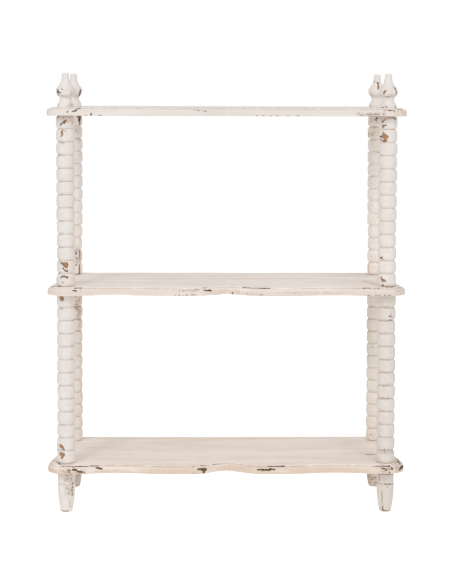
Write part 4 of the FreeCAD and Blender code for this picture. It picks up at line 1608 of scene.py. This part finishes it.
def band(low: Sequence[int], high: Sequence[int]) -> list[tuple[int, ...]]:
    """The faces between two closed loops of points."""
    return list(zip(low, after(low), after(high), high))


@dataclass(frozen=True)
class BoardForm:
    """A board's points in millimetres, its faces, and what the paint reads at each point.

    The seam is the distance from the quirk's corner, and the edge is the share of edge face.
    """

    points: np.ndarray
    faces: list[tuple[int, ...]]
    seam: np.ndarray
    edge: np.ndarray


@dataclass(frozen=True)
class BoardShape:
    """How the three boards are moulded and meshed.

    Lengths are in millimetres. An edge value says how much of the warm edge tone shows there, which is partly
    stain and partly painted shade.
    """

    outline: ScallopedOutline = ScallopedOutline()
    thickness: float = 18.0
    quirk_depth: float = 2.5
    quirk_ledge: float = 2.5
    edge_round: float = 6.5
    underside_round: float = 1.5
    panel_ease: float = 0.5
    bolt_hole_radius: float = 4.5
    bolt_hole_sides: int = 32
    top_cell: float = 3.0
    bottom_cell: float = 6.0
    edge_step: float = 1.25
    fine_rim: float = 15.0
    underside_insets: tuple[float, ...] = (14.0, 10.0, 6.5, 4.0, 2.4)
    underside_edge: float = 0.4
    underside_round_edge: float = 0.8
    underside_round_steps: int = 3
    edge_round_fall: float = 0.6
    edge_round_steps: int = 8
    ledge_rows: tuple[float, ...] = (1.3, 0.5, 0.0)
    quirk_rows: Pair = (0.5, 1.2)
    ease_share: float = 0.3
    rim_gap_share: float = 0.7
    hole_gap_share: float = 0.6

    INSIDE_ONLY = 1
    SAME_POINT = 1e-6

    def section(self) -> list[tuple[float, float, float, float]]:
        """The moulded edge from the underside up and inwards.

        Returns:
            Rows of inset, height, distance from the quirk's corner and share of edge face.
        """
        ledge_z = self.thickness - self.quirk_depth
        side_top = ledge_z - self.edge_round
        quirk = self.edge_round + self.quirk_ledge
        bend, ease = self.underside_round, self.panel_ease
        # Each row's last number is how much edge tone it takes, partly painted shade: full on the upright
        # face, less on the underside, fading up the roundover
        rows = [(inset, 0.0, FAR, self.underside_edge) for inset in (*self.underside_insets, bend)]
        for angle in np.linspace(0, math.pi / 2, self.underside_round_steps + 1)[1:]:
            height = bend - bend * math.cos(angle)
            rows.append((bend - bend * math.sin(angle), height, FAR, self.underside_round_edge))
        count = round((side_top - bend) / self.edge_step)
        for height in np.linspace(bend, side_top, count + 1)[1:]:
            rows.append((0.0, height, FAR, 1.0))
        for angle in np.linspace(0, math.pi / 2, self.edge_round_steps + 1)[1:]:
            inset = self.edge_round * (1 - math.cos(angle))
            height = side_top + self.edge_round * math.sin(angle)
            rows.append((inset, height, quirk - inset, 1 - self.edge_round_fall * math.sin(angle) ** 2))
        for apart in self.ledge_rows:
            rows.append((quirk - apart, ledge_z, apart, 0.0))
        for rise in (*self.quirk_rows, self.quirk_depth - ease):
            rows.append((quirk, ledge_z + rise, rise, 0.0))
        corner = self.ease_share * ease
        rows.append((quirk + corner, self.thickness - corner, self.quirk_depth, 0.0))
        rows.append((quirk + ease, self.thickness, self.quirk_depth + ease, 0.0))
        for inset in np.arange(quirk + ease + self.edge_step, quirk + self.fine_rim, self.edge_step):
            rows.append((inset, self.thickness, inset - quirk + self.quirk_depth, 0.0))
        return rows

    def build(self) -> BoardForm:
        """Makes the board's points and faces."""
        rim = self.outline.rows()
        section = self.section()
        count = len(rim)
        insets, heights, seams, edges = np.array(section).T
        points = [lift(rim[:, :2] - inset * rim[:, 2:], height) for inset, height in zip(insets, heights)]
        seam, edge = np.repeat(seams, count), np.repeat(edges, count)
        rings = [range(start, start + count) for start in range(0, len(section) * count, count)]
        faces = [face for low, high in itertools.pairwise(rings) for face in band(low, high)]
        total = len(section) * count
        holes = []
        for ring, cell, upward in ((0, self.bottom_cell, False), (len(section) - 1, self.top_cell, True)):
            limit = rim[:, :2] - (insets[ring] + self.rim_gap_share * cell) * rim[:, 2:]
            inner, triangles, circles = self.flat(points[ring][:, :2], limit, cell)
            numbers = [*rings[ring], *range(total, total + len(inner))]
            for triangle in triangles:
                faces.append(tuple(numbers[i] for i in (triangle if upward else triangle[::-1])))
            points.append(lift(inner, heights[ring]))
            holes.append([[numbers[i] for i in reversed(circle)] for circle in circles])
            total += len(inner)
            seam = np.concatenate((seam, np.full(len(inner), FAR)))
            edge = np.concatenate((edge, np.zeros(len(inner))))
        for below, above in zip(*holes):
            faces += band(below, above)
        return BoardForm(np.concatenate(points), faces, seam, edge)

    def flat(self, ring: np.ndarray, limit: np.ndarray, cell: float) -> tuple[np.ndarray, list, list]:
        """Fills a flat face inside a ring, leaving the bolt holes open.

        Args:
            ring: The face's boundary, anticlockwise.
            limit: A slightly smaller loop that the points inside keep within.
            cell: The distance between points inside.

        Returns:
            The new points, the triangles by number with the ring's points first, and each hole's points.
        """
        post_x, post_y = self.outline.post_place()
        half_length, half_depth = self.outline.length / 2, self.outline.depth / 2
        xs = np.arange(-half_length, half_length, cell)
        ys = np.arange(-half_depth, half_depth, cell * math.sqrt(3) / 2)
        grid = np.array([(x + (row % 2) * cell / 2, y) for row, y in enumerate(ys) for x in xs])
        keep = inside(grid, limit)
        centres = [(side * post_x, end * post_y) for side in (-1, 1) for end in (-1, 1)]
        for centre in centres:
            gap = self.bolt_hole_radius + self.hole_gap_share * cell
            keep &= np.linalg.norm(grid - centre, axis=1) > gap
        sides = self.bolt_hole_sides
        turns = np.arange(sides) / sides * FULL_TURN
        circle = self.bolt_hole_radius * np.column_stack((np.cos(turns), np.sin(turns)))
        inner = np.concatenate([circle + centre for centre in centres] + [grid[keep]])
        firsts = range(len(ring), len(ring) + sides * len(centres), sides)
        circles = [range(first, first + sides) for first in firsts]
        edges = [pair for loop in (range(len(ring)), *circles) for pair in zip(loop, after(loop))]
        everything = np.concatenate((ring, inner))
        vertices = [Vector(place) for place in everything]
        found = delaunay_2d_cdt(vertices, edges, [], self.INSIDE_ONLY, self.SAME_POINT)
        _, _, triangles, origins, _, _ = found
        kept = []
        for triangle in triangles:
            numbers = [origins[i][0] for i in triangle]
            middle = everything[numbers].mean(axis=0)
            if all(np.linalg.norm(middle - centre) > self.bolt_hole_radius for centre in centres):
                kept.append(numbers)
        return inner, kept, circles


@dataclass
class ScallopedBoard:
    """One of the three boards. Lengths are in millimetres."""

    node: str
    paint: bpy.types.Material
    seed: int
    strays: int = 45
    slot: str = "board_paint"
    planing: float = 0.35

    def build(self, form: BoardForm, weathering: Weathering, tracing: Tracing) -> bpy.types.Object:
        """Makes, wears and places the board.

        Args:
            form: What all three boards start from.
            weathering: How strokes change the surface.
            tracing: Lays the picture's marks on the board.

        Returns:
            The finished object, riding on its body.
        """
        base, _ = base_and_size(self.node)
        mesh = bpy.data.meshes.new("painted_" + self.node)
        mesh.from_pydata((form.points * MM + np.array(base)).tolist(), [], form.faces)
        mesh.shade_smooth()
        mesh.materials.append(self.paint)
        write_values(mesh, "seam", form.seam)
        write_values(mesh, "edge", form.edge)
        strokes = tracing.strokes(self.node, mesh, base)
        weathering.apply(mesh, base, strokes, self.strays, self.seed, self.planing)
        return settle(show(mesh.name, mesh), self.node)


# Studio


@dataclass(frozen=True)
class SoftLight:
    """A square soft light. Places and sizes are in metres."""

    name: str
    place: Place
    size: float
    power: float
    aim: Place = (0.0, 0.0, 0.45)

    def build(self) -> None:
        """Hangs the light and turns it to its aim."""
        lamp = bpy.data.lights.new(self.name, "AREA")
        lamp.shape = "SQUARE"
        lamp.size = self.size
        lamp.energy = self.power
        holder = show(self.name, lamp)
        holder.location = self.place
        holder.rotation_euler = (Vector(self.aim) - Vector(self.place)).to_track_quat("-Z", "Y").to_euler()


@dataclass(frozen=True)
class Studio:
    """A pale floor, soft lights round the front and an even bright room."""

    floor_size: float = 14.0
    floor_colour: Colour = shade(250, 249, 248)
    floor_roughness: float = 0.9
    floor_specular: float = 0.1
    floor_lift: float = 0.75
    room_colour: Colour = (1.0, 1.0, 1.0, 1.0)
    room_brightness: float = 0.6
    front_brightness: float = 0.29
    front_direction: Place = (0.0, -0.96, 0.28)
    bounce_brightness: float = 0.2
    backdrop_brightness: float = 1.0
    lights: tuple[SoftLight, ...] = (
        SoftLight("left_key", (-2.48, -4.43, 4.25), 1.2, 54.0),
        SoftLight("right_key", (2.1, -4.65, 4.25), 1.3, 33.0),
    )

    def build(self) -> None:
        """Makes the floor, the room and the lights."""
        self.floor()
        self.room()
        for light in self.lights:
            light.build()

    def floor(self) -> None:
        """A large plane, bright enough to melt into the room."""
        half = self.floor_size / 2
        mesh = bpy.data.meshes.new("floor")
        corners = [(-half, -half, 0.0), (half, -half, 0.0), (half, half, 0.0), (-half, half, 0.0)]
        mesh.from_pydata(corners, [], [(0, 1, 2, 3)])
        made, s = start_material("pale_floor")
        s.surface(
            self.floor_colour,
            self.floor_roughness,
            Specular_IOR_Level=self.floor_specular,
            Emission_Color=self.floor_colour,
            Emission_Strength=self.floor_lift,
        )
        mesh.materials.append(made)
        plane = show("floor", mesh)
        plane.visible_diffuse = False

    def room(self) -> None:
        """A room that is brightest in front and below, and pure white where the camera looks into it."""
        world = bpy.data.worlds.new("room")
        bpy.context.scene.world = world
        world.use_nodes = True
        s = NodeSheet(world.node_tree)
        seen = s.read("ShaderNodeLightPath", output="Is Camera Ray")
        way = s.read("ShaderNodeTexCoord", output="Generated")
        facing = s.vector("DOT_PRODUCT", way, self.front_direction)
        front = s.math("MAXIMUM", facing, 0.0) * self.front_brightness
        bounce = s.math("MAXIMUM", s.split(way)[2] * -1.0, 0.0) * self.bounce_brightness
        lit = (front + bounce + self.room_brightness) * (1.0 - seen)
        strength = lit + seen * self.backdrop_brightness
        sky = s.read("ShaderNodeBackground", Color=self.room_colour, Strength=strength)
        s.add("ShaderNodeOutputWorld", sky)
        bpy.context.scene.view_settings.view_transform = "Standard"


# The whole shelf


CORNER_SEEDS = 100
FIRST_BOARD_SEED = 11

BOARD = PaintFinish(
    "board_cream",
    dark_wood_and_rim_shade=shade(52, 38, 32),
    wood_mid=shade(100, 76, 58),
    dot_colour=shade(100, 76, 58),
    seam_dirt=shade(156, 124, 110),
    stain_and_shade_tone=shade(214, 188, 164),
    grain_scale=(4.5, 32.0, 100.0),
    warm_share=0.3,
    grain_share=0.7,
    seam_width=1.5,
    seam_share=0.65,
    edge_stain_and_shade_share=0.85,
)


@dataclass(frozen=True)
class ShelfPaints:
    """The finishes of the shelf's parts, with the boards from the bottom up."""

    boards: tuple[PaintFinish, ...] = (
        # Painted lighter than the top board: painted light on a top that the board above shades; its darker
        # edge tone is partly painted shade
        replace(
            BOARD,
            name="bottom_board_painted_light_cream",
            cool=shade(252, 243, 236),
            warm=shade(240, 225, 213),
            edge_stain_and_shade=shade(225, 203, 182),
            edge_stain_and_shade_share=0.9,
        ),
        # Painted lighter than the top board: painted light on a top that the board above shades
        replace(
            BOARD,
            name="middle_board_painted_light_cream",
            cool=shade(254, 247, 241),
            warm=shade(241, 228, 217),
            edge_stain_and_shade=shade(229, 214, 203),
        ),
        replace(
            BOARD,
            name="top_board_cream",
            cool=shade(243, 237, 235),
            warm=shade(235, 226, 220),
            edge_stain_and_shade=shade(232, 222, 213),
            dark_wood_and_rim_shade=shade(82, 58, 42),
        ),
    )
    post: PaintFinish = PaintFinish("post_cream", dot_share=0.12)
    right_post: PaintFinish = PaintFinish(
        "right_post_cream", cool=shade(234, 227, 221), warm=shade(227, 216, 205), dot_share=0.16
    )
    # Lighter than the front posts' paint: painted light where the front posts shade the rear ones
    back_post_painted_light: PaintFinish = PaintFinish(
        "back_post_painted_light_cream", cool=shade(242, 235, 228), warm=shade(236, 223, 211), dot_share=0.2
    )
    # Lighter still on the upper rear posts: painted light where the front posts shade them
    high_back_post_painted_light: PaintFinish = PaintFinish(
        "high_back_post_painted_light_cream",
        cool=shade(247, 243, 240),
        warm=shade(245, 232, 219),
        warm_share=0.7,
        dot_share=0.2,
    )
    foot: PaintFinish = PaintFinish("foot_cream", cool=shade(241, 235, 230), warm=shade(237, 227, 217))
    right_foot: PaintFinish = PaintFinish(
        "right_foot_cream", cool=shade(230, 222, 215), warm=shade(221, 209, 196)
    )
    # Darker and browner than the front feet: painted shade under the bottom board
    back_foot_painted_shade: PaintFinish = PaintFinish(
        "back_foot_painted_shade_cream", cool=shade(224, 210, 196), warm=shade(210, 193, 174), warm_share=0.8, dot_share=0.6
    )
    finial: PaintFinish = PaintFinish("finial_cream", cool=shade(236, 231, 227), warm=shade(231, 221, 213))
    bolt: MetalFinish = MetalFinish("zinc_steel", shade(196, 198, 200), shade(150, 152, 156))
    insert: MetalFinish = MetalFinish("turned_brass", shade(206, 170, 96), shade(160, 124, 62))


def dress_hidden_metal(finish: MetalFinish, nodes: Iterable[str]) -> None:
    """Gives CAD nodes that keep their meshes a metal finish.

    Args:
        finish: The metal.
        nodes: The nodes' names.
    """
    material = finish.material()
    for name in nodes:
        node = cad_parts[name]
        node.data.materials.clear()
        node.data.materials.append(material)
        log.info("%s in %s", name, finish.name)


def turned_pieces(paints: ShelfPaints) -> list[TurnedPiece]:
    """Every turned piece, from the floor up at each corner."""
    finial = paints.finial.material()
    left = paints.foot.material(), paints.post.material()
    right = paints.right_foot.material(), paints.right_post.material()
    # The rear corners take lighter post paints and a darker foot paint: painted light and painted shade
    rear = paints.back_foot_painted_shade.material(), paints.back_post_painted_light.material()
    high_rear = paints.high_back_post_painted_light.material()
    pieces: list[TurnedPiece] = []
    for number, corner in enumerate(Corner, 1):
        foot, post = {Corner.FRONT_LEFT: left, Corner.FRONT_RIGHT: right}.get(corner, rear)
        high_post = high_rear if post is rear[1] else left[1]
        stack = (
            (Foot, "foot", "foot_paint", foot),
            (BobbinPost, "lower_post", "post_paint", post),
            (BobbinPost, "upper_post", "post_paint", high_post),
            (Finial, "finial", "finial_paint", finial),
        )
        for seed, (kind, name, slot, paint) in enumerate(stack, CORNER_SEEDS * number + 1):
            pieces.append(kind(f"{name}_{corner.value}", slot, paint, seed))
    return pieces


def report(piece: bpy.types.Object) -> None:
    """Says what was made and how fine it is."""
    log.info("%s: %d faces", piece.name, len(piece.data.polygons))


def main() -> None:
    """Builds the shelf piece by piece in its studio."""
    view = Viewpoint()
    view.build()
    Studio().build()
    paints = ShelfPaints()
    weathering = Weathering()
    tracing = Tracing(view)
    levels = ("bottom", "middle", "top")
    dress_hidden_metal(paints.bolt, [f"{level}_hanger_bolts" for level in levels])
    dress_hidden_metal(paints.insert, [f"{level}_threaded_inserts" for level in levels])
    tree = TurnedTree()
    for turned in turned_pieces(paints):
        report(turned.build(tree, weathering, tracing))
    form = BoardShape().build()
    for seed, (level, finish) in enumerate(zip(levels, paints.boards), FIRST_BOARD_SEED):
        board = ScallopedBoard(f"{level}_shelf", finish.material(), seed)
        report(board.build(form, weathering, tracing))


if __name__ == "__main__":
    main()
